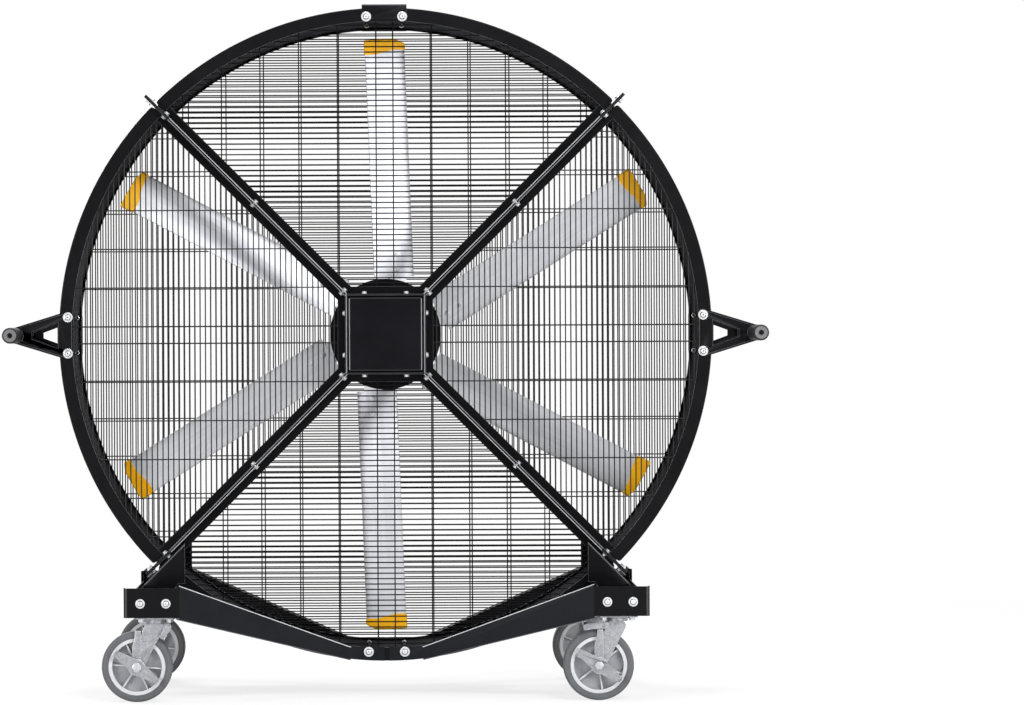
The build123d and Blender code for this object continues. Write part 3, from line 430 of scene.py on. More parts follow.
def rounded(mesh, edges, width, segments, pale=1.0):
    # the new bevel faces are painted pale, a painted highlight along the broken edge
    layer = paintedLightLayer(mesh)
    made = bmesh.ops.bevel(mesh, geom=edges, offset=width, offset_type="OFFSET", segments=segments,
                           profile=0.5, affect="EDGES", clamp_overlap=True, material=-1, loop_slide=True)
    for face in made["faces"]:
        face[layer] = pale


def sharpEdges(mesh, least=32.0):
    found = []
    for edge in mesh.edges:
        if len(edge.link_faces) == 2 and edge.calc_face_angle_signed() > radians(least):
            found.append(edge)
    return found


def cadCopy(node):
    mesh = bmesh.new()
    mesh.from_mesh(nodes[node].data)
    bmesh.ops.remove_doubles(mesh, verts=mesh.verts, dist=1e-6)
    bmesh.ops.dissolve_limit(mesh, angle_limit=radians(0.8), use_dissolve_boundaries=False,
                             verts=mesh.verts, edges=mesh.edges)
    return mesh


def mitred(mesh):
    # parts the faces of a square piece along the two diagonals through the hub
    for slope in (-1, 1):
        bmesh.ops.bisect_plane(mesh, geom=mesh.verts[:] + mesh.edges[:] + mesh.faces[:],
                               plane_co=hub, plane_no=(1, 0, slope))


def dressed(node, fold=0.0, cut=0.0005, thin=0.0045, finish=None, foldPale=0.12, cutPale=0.6, tint=None,
            flatFrom=None, square=False, border=0.0):
    # the CAD piece with its folds bent to a radius and its cut edges broken, folds, cut edges and border painted
    # pale as painted highlights; tint has the last word on paleness
    mesh = cadCopy(node)
    if fold:
        folds = [edge for edge in sharpEdges(mesh, 60)
                 if min(stripWidth(face) for face in edge.link_faces) > thin and edge.calc_length() > 4 * fold]
        rounded(mesh, folds, fold, 3, foldPale)
    rounded(mesh, sharpEdges(mesh), cut, 2, cutPale)
    layer = paintedLightLayer(mesh)
    # a thin border round the front faces, painted pale as a painted highlight
    if border:
        fronts = [face for face in mesh.faces if abs(face.normal.y) > 0.99 and stripWidth(face) > 20 * border]
        made = bmesh.ops.inset_individual(mesh, faces=fronts, thickness=border, use_even_offset=True)
        for face in made["faces"]:
            face[layer] = cutPale
    if square:
        mitred(mesh)
    if tint:
        for face in mesh.faces:
            face[layer] = tint(face, face[layer])
    slot = slotOf[node]
    return landed(mesh, node + "_finished", finish or finishes[slot], bodyOf[node], slot, [node],
                  flatFrom=flatFrom)


outerBend = {"from": 0.772, "low": 0.15, "high": 0.62, "pale": 0.07}      # painted band of light on the bend at the outer end of a base arm


def armTint(face, pale):
    # upper edges are painted pale and lower edges dull, painted highlight for light from above, and the bend at
    # the outer end is painted a soft band of light
    normal = face.normal
    if abs(face.calc_center_median().x) > outerBend["from"] and abs(normal.y) > 0.2 and abs(normal.z) < 0.1:
        return outerBend["pale"] if outerBend["low"] < abs(normal.x) < outerBend["high"] else 0.0
    return pale if normal.z > 0.05 else pale * 0.18


# painted highlight on the thin rim faces of the hub boxes and covers
hubRim = {"from": 0.1948, "wide": 0.004, "pale": 0.42, "level": 0.12}


def hubTint(face, pale):
    # the rim and the upright edges are painted pale, a painted highlight, the level ones much less
    middle = face.calc_center_median() - hub
    if abs(middle.y) > hubRim["from"] and abs(face.normal.y) > 0.9 and stripWidth(face) < hubRim["wide"]:
        pale = hubRim["pale"]
    return pale if abs(middle.x) > abs(middle.z) else pale * hubRim["level"]


sheetPieces = {
    # radius of the outside of each fold, how pale the fold is painted as a painted highlight, tint
    "top_bracket": (0.004, 0.2, None), "gussets": (0.004, 0.4, None),
    "caster_beam_left": (0.004, 0.1, None), "caster_beam_right": (0.004, 0.1, None),
    "base_arms_front": (0.004, 0.8, armTint), "base_arms_rear": (0.004, 0.8, armTint),
}
for node, (radius, pale, tint) in sheetPieces.items():
    dressed(node, fold=radius, cut=0.0006, foldPale=pale, tint=tint, flatFrom=0.006)
for node in ("hub_box_front", "hub_box_rear"):
    dressed(node, cut=0.0008, finish=finishes["hub_coat"], cutPale=0.85, tint=hubTint, flatFrom=0.002,
            square=True)
# the covers' front faces get a border painted pale, a painted highlight
for node in ("hub_cover_front", "hub_cover_rear"):
    dressed(node, cut=0.0012, finish=finishes["hub_coat"], cutPale=0.9, tint=hubTint, flatFrom=0.001,
            square=True, border=0.0022)
for node in ("tie_plates", "handle_bars", "terminal_box", "cable_gland", "blade_roots"):
    dressed(node, cut=0.0007)
print("folded and cut pieces finished")


# bolts, each rebuilt on the levels that its CAD solid has along its axis

boltShape = {
    "sides": 36, "headShare": 0.65, "hexagonShare": 0.92,      # as shares of the bolt's diameter
    "flange": 1.35, "flangeInset": 0.003, "flangeThick": 0.2, "collar": 0.05,
    "crown": 0.93, "slope": 0.577,                             # of the chamfer on the hexagon
    "dimple": 0.24, "dimpleDepth": 0.09, "thread": 0.5, "break": 0.0005,
    # pale tones: rims, crown and chamfers painted pale as painted highlights, groove painted dark as painted shade
    # round head and nut
    "rimPale": 1.0, "washerPale": 0.25, "headPale": 0.55, "groove": -0.9,
}


def circleRing(radius, height):
    count = boltShape["sides"]
    turns = [2 * pi * number / count for number in range(count)]
    return [(radius * cos(turn), radius * sin(turn), height) for turn in turns]


def hexagonRing(corner, height, crown=None, slope=0.0):
    # with a crown radius the ring lies on the cone that chamfers the hexagon
    points = []
    for x, y, z in circleRing(1.0, height):
        turn = atan2(y, x) % radians(60) - radians(30)
        reach = corner * cos(radians(30)) / cos(turn)
        lift = 0 if crown is None else slope * (reach - crown)
        points.append((x * reach, y * reach, z + lift))
    return points


def washerRings(radius, upper, lower):
    rim = boltShape["break"]
    return [(circleRing(radius - rim, upper), boltShape["rimPale"]), (circleRing(radius, upper - rim), 0.6),
            (circleRing(radius, lower + rim), 0.6), (circleRing(radius - rim, lower), 0.0)]


def boltRings(levels, washer):
    # from the dimple in the head down to the end of the thread; levels rise from the foot of the nut
    shape = boltShape
    top, seat, under = levels[-1], levels[-2], levels[-3]
    size = (top - seat) / shape["headShare"]
    corner = size * shape["hexagonShare"]
    flat = corner * cos(radians(30))
    crown = flat * shape["crown"]
    collar = size * shape["collar"]
    flange = max(flat * 0.96, min(size * shape["flange"], washer - shape["flangeInset"]))
    shoulder = seat + size * shape["flangeThick"]
    rings = [
        (circleRing(size * shape["dimple"] * 0.5, top - size * shape["dimpleDepth"]), shape["groove"]),
        (circleRing(size * shape["dimple"], top), shape["headPale"]),
        (circleRing(crown, top), 1.0),
        (hexagonRing(corner, top, crown, -shape["slope"]), 0.0),
        (hexagonRing(corner, shoulder), shape["groove"]),
        (circleRing(max(flange - 0.0012, flat * 0.9), shoulder - collar), shape["headPale"]),
        (circleRing(flange, seat + 2 * collar), 0.3),
        (circleRing(flange, seat + collar), shape["groove"]),
        (circleRing(flange - collar, seat), shape["groove"]),
        (circleRing(flange + collar, seat), shape["washerPale"]),
        *washerRings(washer, seat, under),
        (circleRing(size / 2, under), 0.0),
    ]
    if len(levels) > 5:
        rings.append((circleRing(size / 2, levels[2]), 0.0))
        rings += washerRings(washer, levels[2], levels[1])
    else:
        rings.append((circleRing(size / 2, levels[1]), 0.0))
    foot = levels[0]
    rings += [
        (circleRing(flat * 0.96, levels[1]), shape["groove"]),
        (hexagonRing(corner, levels[1] - collar), 0.2),
        (hexagonRing(corner, foot, crown, shape["slope"]), 1.0),
        (circleRing(crown, foot), 0.7),
        (circleRing(size * shape["thread"] * 1.12, foot), shape["groove"]),
        (circleRing(size * shape["thread"], foot + size * 0.06), 0.4),
        (circleRing(size * shape["thread"] * 0.9, foot), 0.4),
    ]
    return rings


def lofted(mesh, rings, pales=()):
    # joins rings of points into one closed skin; each pale tone belongs to the band below its ring
    layer = paintedLightLayer(mesh)
    loops = []
    for ring in rings:
        verts = [mesh.verts.new(point) for point in ring]
        loops.append([mesh.edges.new((verts[i], verts[(i + 1) % len(verts)])) for i in range(len(verts))])
    for number, (first, second) in enumerate(zip(loops, loops[1:])):
        made = bmesh.ops.bridge_loops(mesh, edges=first + second)
        for face in made["faces"] if pales else ():
            face[layer] = pales[number]
    for end in (loops[0], loops[-1]):
        bmesh.ops.contextual_create(mesh, geom=end)
    bmesh.ops.recalc_face_normals(mesh, faces=mesh.faces)


def islands(mesh):
    # the separate solids of a mesh, each as a list of its points
    left = set(mesh.verts)
    while left:
        found = [left.pop()]
        for vert in found:
            near = {edge.other_vert(vert) for edge in vert.link_edges} & left
            left -= near
            found.extend(near)
        yield found


def boltAxis(verts):
    # the direction in which the flat faces add up to the most area
    sums = {}
    for face in {face for vert in verts for face in vert.link_faces}:
        key = tuple(round(value, 1) for value in face.normal)
        sums[key] = sums.get(key, Vector()) + face.normal * face.calc_area()
    return max(sums.values(), key=lambda total: total.length).normalized()


def levelsAlong(verts, axis):
    return sorted({round(vert.co.dot(axis), 5) for vert in verts})


def boltMesh(node):
    cad = bmesh.new()
    cad.from_mesh(nodes[node].data)
    bmesh.ops.remove_doubles(cad, verts=cad.verts, dist=1e-6)
    mesh = bmesh.new()
    for verts in islands(cad):
        axis = boltAxis(verts)
        levels = levelsAlong(verts, axis)
        if levels[-1] - levels[-2] > levels[1] - levels[0]:      # the nut is taller than the head
            axis = -axis
            levels = levelsAlong(verts, axis)
        centre = sum((vert.co for vert in verts), Vector()) / len(verts)
        centre -= axis * centre.dot(axis)
        washer = max((vert.co - axis * vert.co.dot(axis) - centre).length for vert in verts)
        tip = next(vert.co for vert in verts if abs(vert.co.dot(axis) - levels[-1]) < 1e-5)
        side = (tip - axis * tip.dot(axis) - centre).normalized()
        place = Matrix((side, axis.cross(side), axis)).transposed().to_4x4()
        place.translation = centre + axis * levels[0]
        rings = boltRings([level - levels[0] for level in levels], washer)
        bolt = bmesh.new()
        lofted(bolt, [ring for ring, pale in rings], [pale for ring, pale in rings])
        bmesh.ops.transform(bolt, matrix=place, verts=bolt.verts)
        data = bpy.data.meshes.new("boltPart")
        bolt.to_mesh(data)
        bolt.free()
        mesh.from_mesh(data)
        bpy.data.meshes.remove(data)
    cad.free()
    return mesh


for node in ("strut_bolts", "ring_bolts", "hub_bolts", "base_bolts", "caster_bolts", "blade_bolts"):
    # the hub bolts take the brighter plating, painted light against the hub box's shade
    plating = finishes["bright_zinc" if node == "hub_bolts" else "bolt_zinc"]
    landed(boltMesh(node), node + "_finished", plating, bodyOf[node], slotOf[node], [node], sharp=28)
print("bolts made")


# handle plates, with a line pressed in round their outline and their hole

# the pressed line is painted pale, a painted highlight
pressedLine = {"inset": 0.0045, "width": 0.0012, "depth": 0.0008, "pale": 0.35, "plane": 0.17}


def handlePlateMesh():
    mesh = cadCopy("handle_plates")
    layer = paintedLightLayer(mesh)
    for facing in (-1, 1):
        outside = [face for face in mesh.faces
                   if face.normal.y * facing > 0.9 and face.calc_center_median().y * facing > pressedLine["plane"]]
        bmesh.ops.inset_region(mesh, faces=outside, thickness=pressedLine["inset"], use_even_offset=False,
                               use_boundary=True)
        made = bmesh.ops.inset_region(mesh, faces=outside, thickness=pressedLine["width"],
                                      depth=-pressedLine["depth"], use_even_offset=False, use_boundary=True)
        for face in made["faces"]:
            face[layer] = pressedLine["pale"]
    rounded(mesh, sharpEdges(mesh, 50), 0.0007, 2, 0.6)
    return mesh


landed(handlePlateMesh(), "handle_plates_finished", finishes["black_coat"], bodyOf["handle_plates"],
       slotOf["handle_plates"], ["handle_plates"], flatFrom=0.006)


# ring of four rolled channels

ring = {
    "radius": 0.996, "lip": 0.040, "depth": 0.335, "sheet": 0.003, "gap": 0.016, "corner": 0.010,
    # the last two are painted light on the lips
    "bend": 0.004, "steps": 80, "cornerCuts": 4, "lipPale": 0.75, "rearLipLight": 0.3,
}


def channelProfile():
    # once round the C section, as radius and y
    radius, sheet, bend = ring["radius"], ring["sheet"], ring["bend"]
    front = -ring["depth"] / 2
    inner = radius - ring["lip"]
    turns = [radians(22.5 * step) for step in range(5)]
    outside = [(inner, front)]
    outside += [(radius - bend + bend * sin(turn), front + bend - bend * cos(turn)) for turn in turns]
    reach = bend - sheet
    inside = [(radius - bend + reach * sin(turn), front + bend - reach * cos(turn)) for turn in reversed(turns)]
    inside += [(inner, front + sheet)]
    return (outside + [(place, -y) for place, y in reversed(outside)]
            + [(place, -y) for place, y in reversed(inside)] + inside)


def trimmed(mesh, point, outward):
    # cuts off what lies beyond a plane and closes the cut
    made = bmesh.ops.bisect_plane(mesh, geom=mesh.verts[:] + mesh.edges[:] + mesh.faces[:],
                                  plane_co=point, plane_no=outward, clear_outer=True)
    bmesh.ops.holes_fill(mesh, edges=[item for item in made["geom_cut"] if isinstance(item, bmesh.types.BMEdge)])


def ringMesh():
    mesh = bmesh.new()
    start = radians(-47)
    section = [mesh.verts.new((place * sin(start), y, place * cos(start))) for place, y in channelProfile()]
    edges = [mesh.edges.new((section[i - 1], section[i])) for i in range(len(section))]
    bmesh.ops.spin(mesh, geom=section + edges, cent=(0, 0, 0), axis=(0, 1, 0), dvec=(0, 0, 0),
                   angle=-2 * start, steps=ring["steps"], use_merge=False, use_duplicate=False)
    bmesh.ops.holes_fill(mesh, edges=[edge for edge in mesh.edges if edge.is_boundary])
    corner = ring["corner"]
    for side in (-1, 1):
        outward = Vector((side, 0, 1)) / root2
        along = Vector((side, 0, -1)) / root2            # across the gap, away from the quadrant
        face = -along * ring["gap"] / 2
        trimmed(mesh, face, along)
        centre = outward * (ring["radius"] - corner) + face - along * corner
        for cut in range(1, ring["cornerCuts"] + 1):
            turn = pi / 2 * cut / (ring["cornerCuts"] + 1)
            normal = outward * cos(turn) + along * sin(turn)
            trimmed(mesh, centre + normal * corner, normal)
    bmesh.ops.recalc_face_normals(mesh, faces=mesh.faces)
    rounded(mesh, sharpEdges(mesh, 50), 0.0007, 2, 0.4)
    layer = paintedLightLayer(mesh)
    for face in mesh.faces:
        middle = face.calc_center_median()
        # the front lip's inner face is painted pale, a painted highlight
        if Vector((middle.x, middle.z)).length < ring["radius"] - ring["lip"] + 0.001:
            face[layer] = ring["lipPale"]
        elif face.normal.y < -0.9 and middle.y > 0:           # painted light on the rear lip's front face, which lies in shade inside the ring
            face[layer] = ring["rearLipLight"]
    return mesh


quadrants = {"top": 0, "right": 90, "bottom": 180, "left": 270}


def turned(mesh, angle, rear=False):
    # from the top quadrant at the origin to its place round the hub
    if rear:
        bmesh.ops.scale(mesh, vec=(1, -1, 1), verts=mesh.verts)
        bmesh.ops.reverse_faces(mesh, faces=mesh.faces)
    bmesh.ops.rotate(mesh, cent=(0, 0, 0), matrix=Matrix.Rotation(radians(angle), 3, "Y"), verts=mesh.verts)
    bmesh.ops.translate(mesh, verts=mesh.verts, vec=hub)
    return mesh


for side, angle in quadrants.items():
    node = "ring_" + side
    landed(turned(ringMesh(), angle), node + "_finished", finishes["black_coat"], bodyOf[node],
           slotOf[node], [node])
print("ring made")


# wire guards

guard = {
    "slit": 0.004, "sheet": 0.003, "strutWidth": 0.027, "stripWidth": 0.025,
    "bend": 0.0042, "boxHalf": 0.1205, "flatEnd": 0.985, "tabEnd": 1.031,
    "legHeight": 0.028, "ringDepth": 0.335,
    "wire": 0.0038, "pitch": 0.0164, "weld": 0.0004,
    "supportFirst": 0.026, "supportPitch": 0.118, "supports": 6,
    "edgeRadius": 0.960, "edgeWidth": 0.005, "grip": 0.012,
    "wireSides": 10,
    "paleEnd": 0.93,             # the front edge of a leg is painted bright, a painted highlight, from the hub to this radius
    # how pale the legs' front edges are painted in each quadrant, a painted highlight
    "legPale": {"top": 0.62, "right": 0.3, "bottom": 0.62, "left": 0.3},
    # the level wires catch less light than the upright ones
    "wireCoat": {"top": "guard_coat", "right": "wire_coat", "bottom": "guard_coat", "left": "wire_coat"},
}
flatFront = -guard["ringDepth"] / 2 + guard["sheet"]
flatBack = flatFront + guard["sheet"]
legFront = flatBack - guard["legHeight"]


def legProfile():
    # the bent angle: u runs into the quadrant from the slit, y to the rear
    bend, sheet = guard["bend"], guard["sheet"]
    inner = bend - sheet
    outline = [(0, legFront), (sheet, legFront)]
    for step in range(4):
        turn = radians(30 * step)
        outline.append((bend - inner * cos(turn), flatBack - bend + inner * sin(turn)))
    outline += [(guard["strutWidth"], flatFront), (guard["strutWidth"], flatBack)]
    for step in range(5):
        turn = radians(90 - 22.5 * step)
        outline.append((bend - bend * cos(turn), flatBack - bend + bend * sin(turn)))
    return outline


def strutPoint(radius, inset, side):
    # a point beside the diagonal, inset into the top quadrant
    return side * (radius - inset) / root2, (radius + inset) / root2


def stations(u):
    # where one line of the profile runs, from one strut tip past both hub corners to the other
    inset = guard["slit"] / 2 + u
    low = guard["boxHalf"] + u * guard["stripWidth"] / guard["strutWidth"]
    corner = low - inset * root2
    right = [strutPoint(radius, inset, 1) for radius in (guard["flatEnd"], guard["paleEnd"])]
    right.append((corner, low))
    return right + [(-x, z) for x, z in reversed(right)]


def frameMesh(pale):
    mesh = bmesh.new()
    loops = []
    outline = legProfile()
    for number in range(len(stations(0))):
        ring = []
        for u, y in outline:
            x, z = stations(u)[number]
            ring.append(mesh.verts.new((x, y, z)))
        edges = [mesh.edges.new((ring[i], ring[(i + 1) % len(ring)])) for i in range(len(ring))]
        loops.append(edges)
    for first, second in zip(loops, loops[1:]):
        bmesh.ops.bridge_loops(mesh, edges=first + second)
    for end in (loops[0], loops[-1]):
        bmesh.ops.contextual_create(mesh, geom=end)
    # the leg alone runs on as a tab outside the ring
    for side in (1, -1):
        inset = guard["slit"] / 2
        corners = []
        for u in (0, guard["sheet"]):
            x, z = strutPoint(guard["flatEnd"], inset + u, side)
            corners += [mesh.verts.new((x, legFront, z)), mesh.verts.new((x, flatBack, z))]
        corners[2], corners[3] = corners[3], corners[2]
        face = mesh.faces.new(corners)
        pushed = bmesh.ops.extrude_face_region(mesh, geom=[face])
        reach = (guard["tabEnd"] - guard["flatEnd"]) / root2
        moved = [item for item in pushed["geom"] if isinstance(item, bmesh.types.BMVert)]
        bmesh.ops.translate(mesh, verts=moved, vec=(side * reach, 0, reach))
    bmesh.ops.recalc_face_normals(mesh, faces=mesh.faces)
    rounded(mesh, sharpEdges(mesh, 50), 0.0005, 2, 0.2)
    # the front edge of a strut's leg is painted pale, a painted highlight
    layer = paintedLightLayer(mesh)
    for face in mesh.faces:
        middle = face.calc_center_median()
        reach = Vector((middle.x, middle.z)).length
        if face.normal.y < -0.5 and middle.y < legFront + 0.001 and 0.2 < reach < guard["paleEnd"]:
            face[layer] = pale
    return mesh


def rod(mesh, start, end, radius, sides):
    start, end = Vector(start), Vector(end)
    along = end - start
    turn = along.to_track_quat("Z", "Y").to_matrix().to_4x4()
    place = Matrix.Translation((start + end) / 2) @ turn
    bmesh.ops.create_cone(mesh, cap_ends=True, segments=sides, radius1=radius, radius2=radius,
                          depth=along.length, matrix=place)


def wireMesh():
    mesh = bmesh.new()
    radius, sides = guard["wire"] / 2, guard["wireSides"]
    near = flatBack - guard["weld"] + radius
    far = near + 2 * radius - guard["weld"]
    grip = guard["slit"] / 2 + guard["strutWidth"] - guard["grip"]
    edge = guard["edgeRadius"]
    row = 0
    while (row + 0.5) * guard["pitch"] < edge - guard["pitch"] / 2:
        z = (row + 0.5) * guard["pitch"]
        row += 1
        if z < guard["boxHalf"] + guard["stripWidth"]:
            continue
        half = min(z - grip * root2, sqrt(edge ** 2 - z ** 2))
        rod(mesh, (-half, near, z), (half, near, z), radius, sides)
    for number in range(guard["supports"]):
        x = guard["supportFirst"] + number * guard["supportPitch"]
        low = max(guard["boxHalf"] + guard["stripWidth"] - guard["grip"], x + grip * root2)
        high = sqrt(edge ** 2 - x ** 2)
        for side in (-1, 1):
            rod(mesh, (side * x, far, low), (side * x, far, high), radius, sides)
    # the edge wire is a round bar rolled to the ring
    turn = pi / 4 - asin(grip / edge)
    bar = bmesh.ops.create_circle(mesh, cap_ends=True, segments=sides, radius=guard["edgeWidth"] / 2)
    spun = bar["verts"]
    bmesh.ops.translate(mesh, verts=spun, vec=(edge, 0, 0))
    section = list({face for vert in spun for face in vert.link_faces})
    stand = Matrix.Rotation(pi / 2, 4, "X")
    bmesh.ops.transform(mesh, matrix=stand, verts=spun)
    middle = (near + far) / 2
    bmesh.ops.rotate(mesh, cent=(0, 0, 0), matrix=Matrix.Rotation(-(pi / 2 - turn), 3, "Y"), verts=spun)
    bmesh.ops.spin(mesh, geom=section, cent=(0, 0, 0), axis=(0, 1, 0), dvec=(0, 0, 0),
                   angle=-2 * turn, steps=72, use_merge=False, use_duplicate=False)
    rim = {vert for vert in mesh.verts if abs(vert.co.y) < guard["edgeWidth"]}
    bmesh.ops.translate(mesh, verts=list(rim), vec=(0, middle, 0))
    bmesh.ops.recalc_face_normals(mesh, faces=mesh.faces)
    return mesh


for end in ("front", "rear"):
    node = end + "_guards"
    for side, angle in quadrants.items():
        landed(turned(frameMesh(guard["legPale"][side]), angle, end == "rear"), f"{end}_guard_frame_{side}",
               finishes["guard_coat"], bodyOf[node], slotOf[node], [node])
        landed(turned(wireMesh(), angle, end == "rear"), f"{end}_guard_wires_{side}",
               finishes[guard["wireCoat"][side]], bodyOf[node], slotOf[node], [node], sharp=60)
print("wire guards made")


# rotor plates, blades and winglets

rotorPlate = {
    "radius": 0.171, "thickness": 0.006, "round": 0.0015, "grooves": (0.147, 0.158), "groove": 0.0016,
    "bore": 0.04505, "bossRadius": 0.05405, "steps": 128, "pale": 0.16,
}


def spunAboutY(mesh, outline, steps):
    # closed ring about the Y axis; outline holds (radius, y) once round
    verts = [mesh.verts.new((radius, y, 0)) for radius, y in outline]
    edges = [mesh.edges.new((verts[i - 1], verts[i])) for i in range(len(verts))]
    bmesh.ops.spin(mesh, geom=verts + edges, cent=(0, 0, 0), axis=(0, 1, 0), dvec=(0, 0, 0),
                   angle=2 * pi, steps=steps, use_merge=True, use_duplicate=False)
    bmesh.ops.remove_doubles(mesh, verts=mesh.verts, dist=1e-6)
    bmesh.ops.recalc_face_normals(mesh, faces=mesh.faces)


def rotorPlateMesh(end, bossFront, inside):
    # front face towards -Y; end is 1 for the rear plate, which is its mirror image
    front = inside - rotorPlate["thickness"]
    radius, corner, groove = rotorPlate["radius"], rotorPlate["round"], rotorPlate["groove"]
    outline = [(rotorPlate["bore"], bossFront + 0.001), (rotorPlate["bore"] + 0.001, bossFront),
               (rotorPlate["bossRadius"] - 0.001, bossFront), (rotorPlate["bossRadius"], bossFront + 0.001),
               (rotorPlate["bossRadius"], front)]
    for place in rotorPlate["grooves"]:
        outline += [(place - groove, front), (place - groove / 2, front + groove),
                    (place + groove / 2, front + groove), (place + groove, front)]
    outline += [(radius - corner, front), (radius, front + corner), (radius, inside - corner),
                (radius - corner, inside), (rotorPlate["bore"], inside)]
    mesh = bmesh.new()
    spunAboutY(mesh, outline, rotorPlate["steps"])
    layer = paintedLightLayer(mesh)
    for face in mesh.faces:
        middle = face.calc_center_median()
        reach = Vector((middle.x, middle.z)).length
        # rims and groove walls are painted pale, a painted highlight
        if reach > rotorPlate["bossRadius"] + 0.002 and abs(face.normal.y) < 0.98:
            face[layer] = rotorPlate["pale"]
    if end > 0:
        bmesh.ops.scale(mesh, vec=(1, -1, 1), verts=mesh.verts)
        bmesh.ops.reverse_faces(mesh, faces=mesh.faces)
    bmesh.ops.translate(mesh, verts=mesh.verts, vec=hub)
    return mesh


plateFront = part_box("hub_plates")[0].y
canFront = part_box("rotor_can")[0].y
for end, name in ((-1, "front"), (1, "rear")):
    landed(rotorPlateMesh(end, plateFront, canFront), "rotor_plate_" + name, finishes["black_coat"],
           bodyOf["hub_plates"], slotOf["hub_plates"], ["hub_plates"])


blade = {
    "count": 6, "tipRadius": 0.912, "offset": 0.034, "chord": 0.134, "pitch": 24.0, "root": 0.176,
    "thickness": 0.018, "camber": 0.004, "camberPlace": 0.38, "edge": 0.001,
    "sides": 22, "underWinglet": 0.018,
}
winglet = {
    "proud": 0.0016, "long": 0.047, "short": 0.032, "jointFrom": -0.045, "jointTo": 0.036,
    "shoulder": 0.040, "shoulderDrop": 0.0105, "crown": 0.0014,
}
bladeTip = sqrt(blade["tipRadius"] ** 2 - blade["offset"] ** 2)


def smoothStep(value, low, high):
    share = min(1, max(0, (value - low) / (high - low)))
    return share * share * (3 - 2 * share)


def sectionPoints(proud=0.0):
    # round the blade from its tail over the rear face to the nose and back; c along the chord, t across
    points = []
    count = blade["sides"]
    for number in range(2 * count):
        around = pi * number / count
        share = (1 + cos(around)) / 2                # 1 at the tail, 0 at the nose
        half = 5 * blade["thickness"] * (
            0.2969 * sqrt(share) - 0.126 * share - 0.3516 * share ** 2 + 0.2843 * share ** 3
            - 0.1015 * share ** 4) + blade["edge"] * share
        peak = blade["camberPlace"]
        reach = peak if share < peak else 1 - peak
        lift = blade["camber"] * (1 - ((share - peak) / reach) ** 2)
        side = 1 if number < count else -1
        c = blade["chord"] * (0.5 - share)
        points.append((c * (1 + 2 * proud / blade["chord"]), lift + side * (half + proud)))
    return points


def bladePlace(c, t, height):
    turn = radians(blade["pitch"])
    return (blade["offset"] + c * cos(turn) - t * sin(turn), c * sin(turn) + t * cos(turn), height)


def unwrapBlade(mesh):
    # u across the chord and v along the blade, in metres
    layer = mesh.loops.layers.uv.new("along")
    turn = radians(blade["pitch"])
    for face in mesh.faces:
        for loop in face.loops:
            place = loop.vert.co
            across = (place.x - blade["offset"]) * cos(turn) + place.y * sin(turn)
            loop[layer].uv = (across, place.z)


def bladeMesh():
    mesh = bmesh.new()
    points = sectionPoints()
    top = bladeTip - blade["underWinglet"]
    heights = [blade["root"], bladeTip - winglet["long"], top]
    lofted(mesh, [[bladePlace(c, t, height) for c, t in points] for height in heights])
    unwrapBlade(mesh)
    return mesh


def jointHeight(c):
    share = smoothStep(c, winglet["jointFrom"], winglet["jointTo"])
    return bladeTip - winglet["long"] + share * (winglet["long"] - winglet["short"])


def tipHeight(c):
    half = blade["chord"] / 2
    drop = winglet["crown"] * (c / half) ** 2
    if c > winglet["shoulder"]:
        drop += winglet["shoulderDrop"] * (c - winglet["shoulder"]) / (half - winglet["shoulder"])
    return bladeTip - drop


def wingletMesh():
    mesh = bmesh.new()
    outer = sectionPoints(winglet["proud"])
    inner = sectionPoints(0.0)
    round1, round2 = 0.0012, 0.0034
    rings = [
        [bladePlace(c, t, jointHeight(c) + 0.0008) for c, t in inner],
        [bladePlace(c, t, jointHeight(c)) for c, t in sectionPoints(winglet["proud"] * 0.6)],
        [bladePlace(c, t, jointHeight(c) + 0.0008) for c, t in outer],
        [bladePlace(c, t, (jointHeight(c) + tipHeight(c)) / 2) for c, t in outer],
        [bladePlace(c, t, tipHeight(c) - round2) for c, t in outer],
        [bladePlace(c * 0.995, t * 0.93, tipHeight(c) - round1) for c, t in outer],
        [bladePlace(c * 0.985, t * 0.74, tipHeight(c) - 0.0002) for c, t in outer],
        [bladePlace(c * 0.96, t * 0.4, tipHeight(c)) for c, t in outer],
    ]
    lofted(mesh, rings)
    return mesh


def atBlade(mesh, number):
    lag = degrees(atan2(blade["offset"], bladeTip))
    turn = radians(number * 360 / blade["count"] - lag)
    bmesh.ops.rotate(mesh, cent=(0, 0, 0), matrix=Matrix.Rotation(turn, 3, "Y"), verts=mesh.verts)
    bmesh.ops.translate(mesh, verts=mesh.verts, vec=hub)
    return mesh


for number in range(blade["count"]):
    landed(atBlade(bladeMesh(), number), f"blade_{number + 1}", finishes["blade_aluminium"],
           "rotor", "blade_aluminium", ["blades"], sharp=50)
    landed(atBlade(wingletMesh(), number), f"winglet_{number + 1}", finishes["winglet_yellow"],
           "rotor", "winglet_yellow", ["winglets"], sharp=50)
print("blades and winglets made")


# casters

wheelPales = {"webHalf": 0.012, "face": 0.45, "inside": 0.12}
platedPales = {"under": -0.55, "head": 0.25, "washer": -0.8, "headRadius": 0.0155, "headFrom": 0.033}


def wheelTint(middle):
    # rim, ribs and hub are painted pale against the web, painted light that leaves the recessed web looking shaded
    def tint(face, pale):
        if abs(face.calc_center_median().y - middle) < wheelPales["webHalf"]:
            return 0.0
        return wheelPales["face"] if abs(face.normal.y) > 0.7 else max(pale, wheelPales["inside"])
    return tint


